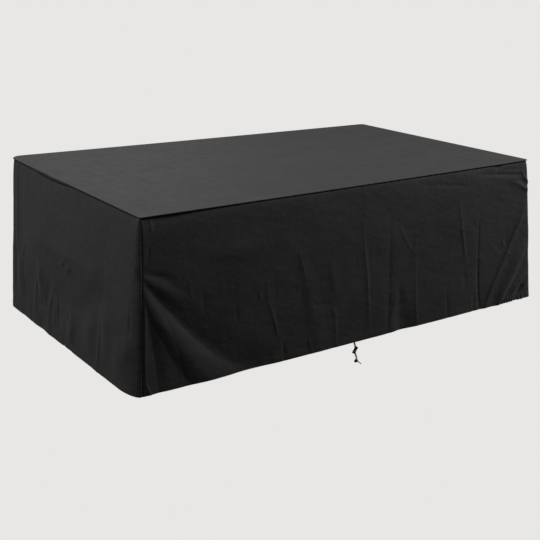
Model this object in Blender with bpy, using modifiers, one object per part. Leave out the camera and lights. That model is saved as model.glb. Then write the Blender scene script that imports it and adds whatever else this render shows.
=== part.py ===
"""Fitted cover for a rectangular patio dining set, in the shape in which it hangs over the set.

A taut top panel carries four skirt panels, which hang to an open hem and flare a little on the way
down. The drawstring that runs inside the hem comes out under the front skirt as two strands, which
pass through a cord lock and end in a knot.

Metres, +Z up. The origin is at the middle of the top panel's underside, where the furniture holds
the cover up. +X runs along the long sides, and the front skirt is at -Y.
"""
import math
from collections import namedtuple

import bmesh
import bpy
import numpy as np
from mathutils import Matrix, Vector

# Driving dimensions
LENGTH = 2.13  # top panel along X
WIDTH = 1.30  # top panel along Y
DROP = 0.715  # skirt, from the top edge down to the hem
END_FLARE = 0.055  # how far each end hangs out at the hem
SIDE_FLARE = 0.027  # how far each long side hangs out at the hem
CLOTH = 0.0015  # thickness of every panel
SEAM_GAP = 0.0006  # between two panels at a seam
SEAM_TAB = 0.003  # a panel that turns round a corner runs this far past the bend, to its seam
TOP_LIP = 0.002  # how far the top panel reaches past the skirt
SKIRT_ROWS = 14  # cells from the top edge to the hem, the same in every panel so that seams match
BEND_GROWTH = 0.75  # the corner bends grow with this power of the drop
SEAM_CALM = 0.03  # folds fade out within this distance of a seam
EDGE_CALM = 0.06  # and within this distance below the top edge
STRAND = 0.0036  # diameter of one drawstring strand

COLLECTION = "patio_furniture_cover"

# The four corners, in the order in which the skirt runs round them. The shifts are how far the worn
# cover strays from a true box, at the top edge and at the hem. A bend is the distance from the
# corner at which the cloth starts to turn, before it and after it.
Corner = namedtuple("Corner", "x_side y_side top_shift hem_shift top_bend hem_bend")
CORNERS = {
    "near": Corner(-1, -1, (0.005, -0.004, -0.004), (-0.002, 0.000, -0.002), (0.012, 0.004), (0.120, 0.040)),
    "right": Corner(1, -1, (-0.006, 0.006, -0.002), (0.005, 0.001, 0.011), (0.020, 0.020), (0.030, 0.030)),
    "far": Corner(1, 1, (0.007, -0.007, -0.006), (0.000, 0.000, -0.001), (0.020, 0.020), (0.050, 0.050)),
    "left": Corner(-1, 1, (-0.009, 0.005, 0.012), (0.001, 0.000, -0.001), (0.065, 0.065), (0.075, 0.075)),
}

# Each skirt panel is a row of stretches. A side runs straight from one corner to the next, and a
# bend turns round one corner. Positions on a side count from the corner named in counts_from.
Stretch = namedtuple("Stretch", "kind corner end columns")
Panel = namedtuple("Panel", "stretches counts_from")
PANELS = {
    "skirt_front": Panel(
        (Stretch("side", "near", "right", 44), Stretch("bend", "right", "right", 4)), "near"
    ),
    "skirt_right": Panel((Stretch("side", "right", "far", 14),), "right"),
    "skirt_back": Panel(
        (Stretch("bend", "far", "far", 4), Stretch("side", "far", "left", 22)), "left"
    ),
    "skirt_left": Panel(
        (
            Stretch("bend", "left", "left", 5),
            Stretch("side", "left", "near", 22),
            Stretch("bend", "near", "near", 6),
        ),
        "near",
    ),
}

# Folds of each panel. A fold runs through its rows, each with the distance along the side, the drop
# below the top edge, the height (a ridge stands out, a trough goes in) and the half width.
Row = namedtuple("Row", "along drop height half_width")
FOLDS = {
    "skirt_front": (
        # the fan that pulls from the near corner's seam down to the hem
        (Row(0.04, 0.24, 0.002, 0.03), Row(0.14, 0.32, 0.005, 0.03), Row(0.26, 0.39, 0.001, 0.03)),
        (Row(0.05, 0.27, -0.002, 0.03), Row(0.20, 0.40, -0.008, 0.04), Row(0.34, 0.52, -0.008, 0.06),
         Row(0.47, 0.63, -0.003, 0.07)),
        (Row(0.05, 0.31, 0.003, 0.03), Row(0.18, 0.46, 0.012, 0.04), Row(0.30, 0.59, 0.010, 0.05),
         Row(0.45, 0.69, 0.004, 0.07)),
        (Row(0.06, 0.36, -0.004, 0.03), Row(0.16, 0.53, -0.010, 0.05), Row(0.27, 0.70, -0.005, 0.07)),
        # creases that stand above the hem, from left to right
        (Row(0.60, 0.33, 0.002, 0.04), Row(0.64, 0.50, 0.006, 0.04), Row(0.70, 0.71, 0.003, 0.05)),
        (Row(0.75, 0.30, -0.002, 0.04), Row(0.80, 0.50, -0.006, 0.04), Row(0.86, 0.71, -0.003, 0.05)),
        (Row(0.93, 0.30, 0.001, 0.04), Row(0.97, 0.50, 0.004, 0.04), Row(1.00, 0.71, 0.002, 0.05)),
        (Row(1.10, 0.15, 0.002, 0.04), Row(1.14, 0.40, 0.006, 0.04), Row(1.19, 0.71, 0.003, 0.05)),
        (Row(1.26, 0.21, -0.002, 0.04), Row(1.28, 0.45, -0.005, 0.04), Row(1.30, 0.71, -0.003, 0.05)),
        (Row(1.30, 0.21, 0.002, 0.04), Row(1.42, 0.37, 0.005, 0.04), Row(1.47, 0.71, 0.003, 0.05)),
        (Row(1.67, 0.15, -0.002, 0.04), Row(1.73, 0.38, -0.005, 0.04), Row(1.79, 0.60, -0.002, 0.05)),
        (Row(1.81, 0.21, 0.002, 0.04), Row(1.84, 0.46, 0.006, 0.04), Row(1.88, 0.71, 0.003, 0.05)),
        (Row(2.13, 0.22, -0.002, 0.04), Row(2.03, 0.44, -0.007, 0.04), Row(1.90, 0.71, -0.003, 0.05)),
        (Row(2.16, 0.45, 0.004, 0.04), Row(2.09, 0.58, 0.008, 0.04), Row(2.02, 0.71, 0.003, 0.05)),
    ),
    "skirt_left": (
        (Row(0.25, 0.42, -0.001, 0.04), Row(0.26, 0.58, -0.004, 0.04), Row(0.25, 0.71, -0.003, 0.05)),
        (Row(0.30, 0.42, 0.002, 0.04), Row(0.31, 0.56, 0.006, 0.04), Row(0.33, 0.71, 0.003, 0.05)),
        (Row(0.40, 0.36, -0.002, 0.05), Row(0.39, 0.58, -0.005, 0.05), Row(0.39, 0.71, -0.002, 0.06)),
        (Row(0.63, 0.50, 0.002, 0.04), Row(0.63, 0.62, 0.005, 0.04), Row(0.64, 0.71, 0.003, 0.05)),
        (Row(0.73, 0.48, -0.002, 0.04), Row(0.72, 0.62, -0.005, 0.04), Row(0.72, 0.71, -0.002, 0.04)),
        (Row(0.80, 0.48, 0.002, 0.04), Row(0.82, 0.60, 0.006, 0.04), Row(0.83, 0.71, 0.003, 0.05)),
        (Row(0.91, 0.47, -0.002, 0.04), Row(0.91, 0.60, -0.007, 0.04), Row(0.92, 0.71, -0.003, 0.05)),
        (Row(0.97, 0.48, 0.002, 0.04), Row(0.98, 0.60, 0.005, 0.04), Row(0.99, 0.71, 0.003, 0.05)),
        (Row(1.14, 0.38, -0.001, 0.04), Row(1.13, 0.55, -0.005, 0.04), Row(1.15, 0.71, -0.003, 0.04)),
    ),
    "skirt_back": (
        (Row(0.22, 0.25, 0.002, 0.06), Row(0.26, 0.50, 0.007, 0.07), Row(0.30, 0.71, 0.004, 0.08)),
        (Row(0.62, 0.20, -0.002, 0.06), Row(0.60, 0.50, -0.007, 0.07), Row(0.58, 0.71, -0.004, 0.08)),
        (Row(0.95, 0.30, 0.002, 0.06), Row(0.97, 0.55, 0.006, 0.07), Row(0.98, 0.71, 0.004, 0.08)),
        (Row(1.40, 0.18, -0.002, 0.07), Row(1.37, 0.50, -0.008, 0.08), Row(1.34, 0.71, -0.004, 0.09)),
        (Row(1.86, 0.26, 0.002, 0.06), Row(1.80, 0.52, 0.007, 0.07), Row(1.74, 0.71, 0.004, 0.08)),
    ),
    "skirt_right": (
        (Row(0.20, 0.28, 0.002, 0.06), Row(0.24, 0.55, 0.007, 0.06), Row(0.26, 0.71, 0.004, 0.07)),
        (Row(0.55, 0.22, -0.002, 0.06), Row(0.53, 0.50, -0.006, 0.07), Row(0.52, 0.71, -0.004, 0.08)),
        (Row(0.92, 0.30, 0.002, 0.06), Row(0.90, 0.55, 0.007, 0.06), Row(0.88, 0.71, 0.004, 0.07)),
    ),
}

# Soft unevenness of the taut top: the middle of each swelling or hollow, its height and its reach.
Swell = namedtuple("Swell", "x y height reach")
TOP_SWELLS = (
    Swell(-0.72, -0.20, 0.0020, 0.30),
    Swell(-0.30, 0.25, -0.0025, 0.32),
    Swell(0.20, -0.28, 0.0020, 0.28),
    Swell(0.62, 0.18, -0.0030, 0.34),
    Swell(0.86, -0.22, 0.0015, 0.22),
)
TOP_COLUMNS = (4, 15, 2)  # cells across the left bend, the middle and the right bend
TOP_ROWS = (2, 9, 4)  # cells across the front bend, the middle and the back bend
TOP_BEND_X = (0.07, 0.03)  # width of the bend zones at the left and right ends
TOP_BEND_Y = (0.03, 0.07)  # and along the front and the back

# Cord lock. Its axis leans up to the right, and its bore runs from the front down to the back.
LOCK_CENTRE = Vector((-0.0195, -0.6778, -0.7536))  # in the middle of the bore
LOCK_TILT = math.radians(55)  # the button end is the higher one
BORE_TURN = math.radians(45)  # of the bore about the lock's axis
BARREL_DIAMETER = 0.0145
BARREL_LENGTH = 0.0210
BARREL_ROUNDING = 0.0012
BARREL_SHIFT = 0.0030  # from the bore to the barrel's middle, away from the button
BORE_WIDTH = 0.0090  # room for two strands side by side
BORE_DEPTH = 0.0052
BUTTON_DIAMETER = 0.0138
BUTTON_LENGTH = 0.0125
BUTTON_ROUNDING = 0.0010

# Drawstring. Its two strands drop side by side from the hem, pass through the cord lock and meet in
# the knot. Places are on the line midway between them, from the lock's centre, and spread is how far
# each strand lies from that line.
Place = namedtuple("Place", "x y z spread")
STRANDS_MIDDLE = (
    Place(-0.0031, 0.0018, 0.0416, 0.00205),
    Place(-0.0022, 0.0010, 0.0345, 0.00205),
    Place(-0.0004, -0.0015, 0.0250, 0.00205),
    Place(-0.0020, -0.0048, 0.0160, 0.00205),
    Place(-0.0054, -0.0070, 0.0098, 0.00205),
    Place(-0.0062, -0.0073, 0.0058, 0.00205),
    Place(-0.0043, -0.0053, 0.0030, 0.00205),
    Place(0.0000, 0.0000, 0.0000, 0.00205),
    Place(0.0043, 0.0053, -0.0030, 0.00205),
    Place(0.0062, 0.0073, -0.0058, 0.00205),
    Place(0.0065, 0.0068, -0.0100, 0.00205),
    Place(0.0078, 0.0045, -0.0185, 0.00205),
    Place(0.0102, 0.0015, -0.0290, 0.00220),
    Place(0.0116, 0.0001, -0.0365, 0.00270),
    Place(0.0120, 0.0001, -0.0424, 0.00235),
)
STRANDS = {"drawstring_strand_left": -1, "drawstring_strand_right": 1}  # side of the middle line
STRAND_STEP = 0.0035  # between two points of a strand's tube

# Knot: its lobes, each a centre and three half sizes, and the route of the tail that leaves it.
Lobe = namedtuple("Lobe", "centre half_sizes")
KNOT_LOBES = (
    Lobe((-0.0120, -0.6777, -0.8050), (0.0068, 0.0056, 0.0070)),
    Lobe((-0.0036, -0.6777, -0.8060), (0.0058, 0.0050, 0.0060)),
)
TAIL_ROUTE = (
    (-0.0010, -0.6777, -0.8060),
    (0.0040, -0.6778, -0.8110),
    (0.0100, -0.6780, -0.8170),
    (0.0160, -0.6780, -0.8220),
    (0.0215, -0.6779, -0.8262),
)

CLOTH_COLOUR = (0.030, 0.030, 0.029)
CORD_COLOUR = (0.020, 0.020, 0.020)
LOCK_COLOUR = (0.016, 0.016, 0.016)


def clear_objects():
    for old in list(bpy.data.objects):
        bpy.data.objects.remove(old, do_unlink=True)


def make_collection(name):
    collection = bpy.data.collections.new(name)
    bpy.context.scene.collection.children.link(collection)
    return collection


def make_material(name, colour, roughness):
    material = bpy.data.materials.new(name)
    material.use_nodes = True
    shader = material.node_tree.nodes["Principled BSDF"]
    shader.inputs["Base Color"].default_value = (*colour, 1.0)
    shader.inputs["Roughness"].default_value = roughness
    shader.inputs["Metallic"].default_value = 0.0
    return material


def add_object(name, mesh, collection, material):
    made = bpy.data.objects.new(name, mesh)
    made.data.materials.append(material)
    collection.objects.link(made)
    return made


def smoothstep(value):
    value = np.clip(value, 0.0, 1.0)
    return value * value * (3.0 - 2.0 * value)


# The box that the cover follows ---------------------------------------------------------------


def top_corner(name):
    """Corner of the top panel's underside."""
    corner = CORNERS[name]
    flat = np.array((corner.x_side * LENGTH / 2, corner.y_side * WIDTH / 2, 0.0))
    return flat + np.array(corner.top_shift)


def hem_corner(name):
    corner = CORNERS[name]
    flat = np.array((
        corner.x_side * (LENGTH / 2 + END_FLARE),
        corner.y_side * (WIDTH / 2 + SIDE_FLARE),
        -DROP,
    ))
    return flat + np.array(corner.hem_shift)


def skirt_corner(name, fall):
    """Where the skirt's faces would meet, at a fall of 0 at the top edge to 1 at the hem."""
    corner = CORNERS[name]
    inset = TOP_LIP * (1.0 - fall)
    top = top_corner(name) - np.array((corner.x_side * inset, corner.y_side * inset, SEAM_GAP))
    return top + (hem_corner(name) - top) * fall


def bends(name, fall):
    """Lengths before and after a corner over which the cloth turns."""
    corner = CORNERS[name]
    growth = fall**BEND_GROWTH
    before = corner.top_bend[0] + (corner.hem_bend[0] - corner.top_bend[0]) * growth
    after = corner.top_bend[1] + (corner.hem_bend[1] - corner.top_bend[1]) * growth
    return before, after


def unit(vector):
    return vector / np.linalg.norm(vector)


def neighbours(name):
    order = list(CORNERS)
    place = order.index(name)
    return order[place - 1], order[(place + 1) % len(order)]


def bend_point(name, fall, turn):
    """Point and outward direction on a corner's bend, for a turn of 0 to 1."""
    before_name, after_name = neighbours(name)
    corner = skirt_corner(name, fall)
    arriving = unit(corner - skirt_corner(before_name, fall))
    leaving = unit(skirt_corner(after_name, fall) - corner)
    before, after = bends(name, fall)
    angle = 0.5 * math.pi * turn
    point = corner - before * arriving
    point = point + before * math.sin(angle) * arriving + after * (1.0 - math.cos(angle)) * leaving
    heading = before * math.cos(angle) * arriving + after * math.sin(angle) * leaving
    return point, unit(np.array((heading[1], -heading[0], 0.0)))


def side_point(start_name, end_name, fall, share):
    """Point and outward direction on a straight side, between the two bends at its ends."""
    start, end = skirt_corner(start_name, fall), skirt_corner(end_name, fall)
    heading = unit(end - start)
    begins = start + heading * bends(start_name, fall)[1]
    ends = end - heading * bends(end_name, fall)[0]
    return begins + (ends - begins) * share, unit(np.array((heading[1], -heading[0], 0.0)))


# Folds ----------------------------------------------------------------------------------------


def fold_height(rows, along, drop):
    """Height of one fold at points given by their distance along the side and their drop."""
    reach = np.full(along.shape, np.inf)
    height = np.zeros(along.shape)
    for start, end in zip(rows, rows[1:]):
        run = np.array((end.along - start.along, end.drop - start.drop))
        offset = (along - start.along) * run[0] + (drop - start.drop) * run[1]
        share = np.clip(offset / run.dot(run), 0.0, 1.0)
        across = np.hypot(along - start.along - share * run[0], drop - start.drop - share * run[1])
        half_width = start.half_width + (end.half_width - start.half_width) * share
        crest = start.height + (end.height - start.height) * share
        nearer = across / half_width < reach
        reach = np.where(nearer, across / half_width, reach)
        height = np.where(nearer, crest * np.exp(-((across / half_width) ** 2)), height)
    return height


def panel_relief(name, along, drop, from_seam):
    """How far the cloth stands out from the flat side, with every fold of the panel."""
    relief = sum(fold_height(rows, along, drop) for rows in FOLDS[name])
    return relief * smoothstep(from_seam / SEAM_CALM) * smoothstep(drop / EDGE_CALM)


# Panels ---------------------------------------------------------------------------------------


def grid_mesh(name, columns, rows):
    """A flat grid, with its vertices' places as shares from 0 to 1 across and up."""
    sheet = bmesh.new()
    bmesh.ops.create_grid(sheet, x_segments=columns, y_segments=rows, size=0.5)
    mesh = bpy.data.meshes.new(name)
    sheet.to_mesh(mesh)
    sheet.free()
    flat = np.empty(len(mesh.vertices) * 3, dtype=np.float32)
    mesh.vertices.foreach_get("co", flat)
    shares = flat.reshape(-1, 3)[:, :2].astype(float) + 0.5
    return mesh, shares


def finish_sheet(name, mesh, points, collection, material):
    """Puts the grid's vertices in place and gives the sheet its thickness, on its inner side."""
    mesh.vertices.foreach_set("co", points.astype(np.float32).ravel())
    mesh.update()
    mesh.shade_smooth()
    sheet = add_object(name, mesh, collection, material)
    thickness = sheet.modifiers.new("cloth thickness", "SOLIDIFY")
    thickness.thickness = CLOTH
    thickness.offset = -1.0
    thickness.use_even_offset = True
    return sheet


def place_on_bend(stretch, local, fall, begins_panel, ends_panel):
    """Point and outward direction on a bend, whose outermost column is the tab beside the seam."""
    turning = stretch.columns - begins_panel - ends_panel
    turn = min(max((local - begins_panel) / turning, 0.0), 1.0)
    point, outward = bend_point(stretch.corner, fall, turn)
    heading = np.array((-outward[1], outward[0], 0.0))
    if begins_panel and local == 0:
        point = point - heading * SEAM_TAB
    if ends_panel and local == stretch.columns:
        point = point + heading * SEAM_TAB
    return point, outward


def place_on_side(panel, stretch, share, fall, begins_panel, ends_panel):
    """Point, outward direction, distance along the side and distance from the nearest seam."""
    point, outward = side_point(stretch.corner, stretch.end, fall, share)
    start, end = skirt_corner(stretch.corner, fall), skirt_corner(stretch.end, fall)
    length = np.linalg.norm(end - start)
    from_start = np.linalg.norm(point - start)
    from_seam = SEAM_CALM
    if begins_panel:
        from_seam = min(from_seam, share * length)
    if ends_panel:
        from_seam = min(from_seam, (1.0 - share) * length)
    trim = SEAM_TAB + SEAM_GAP
    shift = trim * (begins_panel and share == 0.0) - trim * (ends_panel and share == 1.0)
    along = from_start if panel.counts_from == stretch.corner else length - from_start
    return point + unit(end - start) * shift, outward, along, from_seam


def place_on_skirt(panel, column, fall):
    """Point, outward direction, distance along the side, or None on a bend, and from the seam."""
    passed = 0
    for stretch in panel.stretches:
        if column <= passed + stretch.columns:
            break
        passed += stretch.columns
    begins_panel = stretch is panel.stretches[0]
    ends_panel = stretch is panel.stretches[-1]
    if stretch.kind == "bend":
        point, outward = place_on_bend(stretch, column - passed, fall, begins_panel, ends_panel)
        return point, outward, None, 0.0
    share = (column - passed) / stretch.columns
    return place_on_side(panel, stretch, share, fall, begins_panel, ends_panel)


def make_skirt(name, collection, material):
    panel = PANELS[name]
    columns = sum(stretch.columns for stretch in panel.stretches)
    mesh, shares = grid_mesh(name, columns, SKIRT_ROWS)
    points, outwards, alongs, seams = [], [], [], []
    for across, up in shares:
        column = round(across * columns)
        fall = round((1.0 - up) * SKIRT_ROWS) / SKIRT_ROWS
        point, outward, along, from_seam = place_on_skirt(panel, column, fall)
        points.append(point)
        outwards.append(outward)
        alongs.append(-1.0 if along is None else along)
        seams.append(from_seam)
    points, outwards = np.array(points), np.array(outwards)
    on_side = np.array(alongs) >= 0.0
    drop = (1.0 - shares[:, 1]) * DROP
    relief = panel_relief(name, np.array(alongs), drop, np.array(seams)) * on_side
    return finish_sheet(name, mesh, points + outwards * relief[:, None], collection, material)


def graded(shares, cells, zones, length):
    """Turns even shares into distances with narrow cells in the two end zones."""
    marks = [zones[0] * step / cells[0] for step in range(cells[0] + 1)]
    middle = length - zones[0] - zones[1]
    marks += [zones[0] + middle * step / cells[1] for step in range(1, cells[1] + 1)]
    marks += [length - zones[1] + zones[1] * step / cells[2] for step in range(1, cells[2] + 1)]
    steps = np.round(shares * sum(cells)).astype(int)
    return np.array(marks)[steps] / length


def round_corner(point, name, spot):
    """Draws a point near one of the top's corners in, so that the outline turns with a bend."""
    before_name, after_name = neighbours(name)
    corner = spot[name]
    before, after = CORNERS[name].top_bend
    back = unit(spot[before_name] - corner)[:2]
    ahead = unit(spot[after_name] - corner)[:2]
    away = point[:2] - corner[:2]
    shares = np.linalg.solve(np.column_stack((back * before, ahead * after)), away)
    if shares.max() >= 1.0:
        return point
    inward = 1.0 - np.clip(shares, 0.0, 1.0)
    drawn = 1.0 - inward * inward.max() / max(np.linalg.norm(inward), 1e-9)
    moved = corner[:2] + back * before * drawn[0] + ahead * after * drawn[1]
    return np.array((*moved, point[2]))


def make_top(collection, material):
    name = "top_panel"
    mesh, shares = grid_mesh(name, sum(TOP_COLUMNS), sum(TOP_ROWS))
    across = graded(shares[:, 0], TOP_COLUMNS, TOP_BEND_X, LENGTH)[:, None]
    deep = graded(shares[:, 1], TOP_ROWS, TOP_BEND_Y, WIDTH)[:, None]
    spot = {corner: top_corner(corner) for corner in CORNERS}
    front = spot["near"] * (1.0 - across) + spot["right"] * across
    back = spot["left"] * (1.0 - across) + spot["far"] * across
    points = front * (1.0 - deep) + back * deep
    edge = 4.0 * np.minimum(np.minimum(across, 1.0 - across), np.minimum(deep, 1.0 - deep))[:, 0]
    for swell in TOP_SWELLS:
        away = np.hypot(points[:, 0] - swell.x, points[:, 1] - swell.y) / swell.reach
        points[:, 2] += swell.height * np.exp(-(away**2)) * smoothstep(edge)
    for corner in CORNERS:
        points = np.array([round_corner(point, corner, spot) for point in points])
    points[:, 2] += CLOTH
    return finish_sheet(name, mesh, points, collection, material)


# Drawstring, cord lock and knot ---------------------------------------------------------------


def smooth_route(route, step):
    """Evenly spaced points on one smooth curve through the route's own rows of numbers."""
    points = [Vector(row) for row in route]
    padded = [2 * points[0] - points[1], *points, 2 * points[-1] - points[-2]]
    fine = []
    for before, start, end, after in zip(padded, padded[1:], padded[2:], padded[3:]):
        for tick in range(16):
            t = tick / 16
            fine.append(
                0.5
                * (
                    2 * start
                    + (end - before) * t
                    + (2 * before - 5 * start + 4 * end - after) * t**2
                    + (3 * start - before - 3 * end + after) * t**3
                )
            )
    fine.append(points[-1])
    lengths = [0.0]
    for start, end in zip(fine, fine[1:]):
        lengths.append(lengths[-1] + (end - start).length)
    count = max(2, round(lengths[-1] / step))
    even = []
    for tick in range(count + 1):
        target = lengths[-1] * tick / count
        place = min(np.searchsorted(lengths, target), len(fine) - 1)
        place = max(place, 1)
        share = (target - lengths[place - 1]) / (lengths[place] - lengths[place - 1])
        even.append(fine[place - 1].lerp(fine[place], share))
    return even


def lock_axis():
    """Direction from the cord lock's barrel to its button."""
    return Vector((math.cos(LOCK_TILT), 0.0, math.sin(LOCK_TILT)))


def strand_points(side):
    """One strand's points: beside the middle line, square to it, on the lock axis's side or not."""
    middle = smooth_route(STRANDS_MIDDLE, STRAND_STEP)
    points = []
    for number, place in enumerate(middle):
        ahead = middle[min(number + 1, len(middle) - 1)] - middle[max(number - 1, 0)]
        heading = ahead.to_3d().normalized()
        sideways = (lock_axis() - lock_axis().dot(heading) * heading).normalized()
        points.append(LOCK_CENTRE + place.to_3d() + side * place.w * sideways)
    return points


def make_strand(name, points, collection, material):
    curve = bpy.data.curves.new(name, "CURVE")
    curve.dimensions = "3D"
    curve.bevel_depth = STRAND / 2
    curve.bevel_resolution = 2
    curve.use_fill_caps = True
    spline = curve.splines.new("POLY")
    spline.points.add(len(points) - 1)
    for place, point in zip(spline.points, points):
        place.co = (*point, 1.0)
    return add_object(name, curve, collection, material)


def mesh_of(made):
    """The evaluated shape of an object as a plain mesh object with welded caps."""
    depsgraph = bpy.context.evaluated_depsgraph_get()
    mesh = bpy.data.meshes.new_from_object(made.evaluated_get(depsgraph))
    welded = bmesh.new()
    welded.from_mesh(mesh)
    bmesh.ops.remove_doubles(welded, verts=welded.verts, dist=1e-6)
    bmesh.ops.recalc_face_normals(welded, faces=welded.faces)
    welded.to_mesh(mesh)
    welded.free()
    return mesh


def make_turned(name, diameter, length, rounding, collection, material):
    """A solid cylinder along X with rounded rims, centred on its own origin."""
    turned = bmesh.new()
    bmesh.ops.create_cone(
        turned, cap_ends=True, segments=20, radius1=diameter / 2, radius2=diameter / 2, depth=length
    )
    bmesh.ops.rotate(turned, verts=turned.verts, matrix=Matrix.Rotation(math.pi / 2, 3, "Y"))
    mesh = bpy.data.meshes.new(name)
    turned.to_mesh(mesh)
    turned.free()
    made = add_object(name, mesh, collection, material)
    rims = made.modifiers.new("rounded rims", "BEVEL")
    rims.width = rounding
    rims.segments = 2
    rims.limit_method = "ANGLE"
    return made


def make_lock(collection, cutters, material):
    barrel = make_turned(
        "cord_lock_barrel", BARREL_DIAMETER, BARREL_LENGTH, BARREL_ROUNDING, collection, material
    )
    lean = Matrix.Translation(LOCK_CENTRE) @ Matrix.Rotation(-LOCK_TILT, 4, "Y")
    barrel.matrix_world = lean @ Matrix.Translation((-BARREL_SHIFT, 0, 0))
    bore_shape = bmesh.new()
    bmesh.ops.create_cube(bore_shape, size=1.0)
    room = Matrix.Diagonal((BORE_WIDTH, BORE_DEPTH, 2 * BARREL_DIAMETER))
    bmesh.ops.transform(bore_shape, verts=bore_shape.verts, matrix=room.to_4x4())
    bore_mesh = bpy.data.meshes.new("cord_lock_bore")
    bore_shape.to_mesh(bore_mesh)
    bore_shape.free()
    bore = add_object("cord_lock_bore", bore_mesh, cutters, material)
    bore.matrix_world = lean @ Matrix.Rotation(BORE_TURN, 4, "X")
    bore.hide_render = True
    bore.display_type = "WIRE"
    cut = barrel.modifiers.new("bore for the strands", "BOOLEAN")
    cut.operation = "DIFFERENCE"
    cut.object = bore
    button = make_turned(
        "cord_lock_button", BUTTON_DIAMETER, BUTTON_LENGTH, BUTTON_ROUNDING, collection, material
    )
    reach = (BARREL_LENGTH + BUTTON_LENGTH) / 2 + SEAM_GAP - BARREL_SHIFT
    button.matrix_world = lean @ Matrix.Translation((reach, 0, 0))


def make_knot(collection, cutters, material):
    """The knot's first lobe, with the other lobe and the tail joined to it."""
    joined = []
    for number, lobe in enumerate(KNOT_LOBES):
        ball = bmesh.new()
        bmesh.ops.create_icosphere(ball, subdivisions=2, radius=1.0)
        shape = Matrix.Translation(lobe.centre) @ Matrix.Diagonal((*lobe.half_sizes, 1.0))
        bmesh.ops.transform(ball, verts=ball.verts, matrix=shape)
        mesh = bpy.data.meshes.new(f"knot_lobe_{number}")
        ball.to_mesh(mesh)
        ball.free()
        joined.append(add_object(f"knot_lobe_{number}", mesh, cutters, material))
    tail_points = smooth_route(TAIL_ROUTE, STRAND_STEP)
    tail = make_strand("knot_tail_curve", tail_points, cutters, material)
    bpy.context.view_layer.update()
    joined.append(add_object("knot_tail", mesh_of(tail), cutters, material))
    bpy.data.objects.remove(tail)
    knot = add_object("drawstring_knot", joined[0].data.copy(), collection, material)
    knot.data.materials.clear()
    knot.data.materials.append(material)
    for piece in joined:
        piece.hide_render = True
        piece.display_type = "WIRE"
    for piece in joined[1:]:
        union = knot.modifiers.new(f"with {piece.name}", "BOOLEAN")
        union.operation = "UNION"
        union.object = piece
    return knot


def main():
    clear_objects()
    collection = make_collection(COLLECTION)
    cutters = make_collection("cutters")
    cloth = make_material("cloth", CLOTH_COLOUR, 0.62)
    cord = make_material("cord", CORD_COLOUR, 0.75)
    plastic = make_material("plastic", LOCK_COLOUR, 0.40)
    make_top(collection, cloth)
    for name in PANELS:
        make_skirt(name, collection, cloth)
    for name, side in STRANDS.items():
        make_strand(name, strand_points(side), collection, cord)
    make_lock(collection, cutters, plastic)
    make_knot(collection, cutters, cord)


main()
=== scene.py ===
"""Looks of the fitted patio furniture cover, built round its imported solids.

Metres, +Z up, in the solids' own frame: the origin is at the middle of the top panel's underside,
+X runs along the long sides, and the front skirt is at -Y. Every panel is a fine sheet that follows
the same box as its solid, with its folds and turned edges. The skirts have a hem channel too.
"""

import math
from collections import namedtuple

import bpy
import numpy as np
from mathutils import Matrix, Vector


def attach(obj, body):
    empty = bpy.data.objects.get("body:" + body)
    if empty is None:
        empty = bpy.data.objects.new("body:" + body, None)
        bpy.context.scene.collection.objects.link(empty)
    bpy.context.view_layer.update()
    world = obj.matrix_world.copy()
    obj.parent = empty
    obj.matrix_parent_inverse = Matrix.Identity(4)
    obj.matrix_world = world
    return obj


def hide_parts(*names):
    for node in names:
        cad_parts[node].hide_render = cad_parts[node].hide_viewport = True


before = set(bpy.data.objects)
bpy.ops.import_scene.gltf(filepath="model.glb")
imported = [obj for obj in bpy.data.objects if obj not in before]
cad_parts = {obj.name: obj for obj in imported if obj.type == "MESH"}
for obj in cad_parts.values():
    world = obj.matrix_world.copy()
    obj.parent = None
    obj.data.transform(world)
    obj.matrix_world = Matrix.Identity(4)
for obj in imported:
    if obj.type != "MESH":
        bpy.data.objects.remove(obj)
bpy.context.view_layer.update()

# The box that the cover follows, as in the solids ----------------------------------------------
LENGTH = 2.13  # top panel along X
WIDTH = 1.30  # top panel along Y
DROP = 0.715  # skirt, from the top edge down to the hem
END_FLARE = 0.055  # how far each end hangs out at the hem
SIDE_FLARE = 0.027  # how far each long side hangs out at the hem
CLOTH = 0.0015  # the top's surface above the panel's underside
SEAM_GAP = 0.0006  # below the top panel, where the skirt begins
TOP_LIP = 0.0010  # from the skirt's face at its top out to the top panel's outline
BEND_GROWTH = 0.75  # the corner bends grow with this power of the drop

# The four corners, in the order in which the skirt runs round them. The shifts are how far the worn
# cover strays from a true box, at the top edge and at the hem. A bend is the distance from the
# corner at which the cloth starts to turn, before it and after it.
Corner = namedtuple("Corner", "x_side y_side top_shift hem_shift top_bend hem_bend")
CORNERS = {
    "near": Corner(-1, -1, (0.005, -0.004, -0.004), (-0.002, 0.000, -0.002), (0.012, 0.004), (0.120, 0.040)),
    "right": Corner(1, -1, (-0.006, 0.006, -0.002), (0.005, 0.001, 0.011), (0.020, 0.020), (0.030, 0.030)),
    "far": Corner(1, 1, (0.007, -0.007, -0.006), (0.000, 0.000, -0.001), (0.020, 0.020), (0.050, 0.050)),
    "left": Corner(-1, 1, (-0.009, 0.005, 0.012), (0.001, 0.000, -0.001), (0.065, 0.065), (0.075, 0.075)),
}

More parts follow.
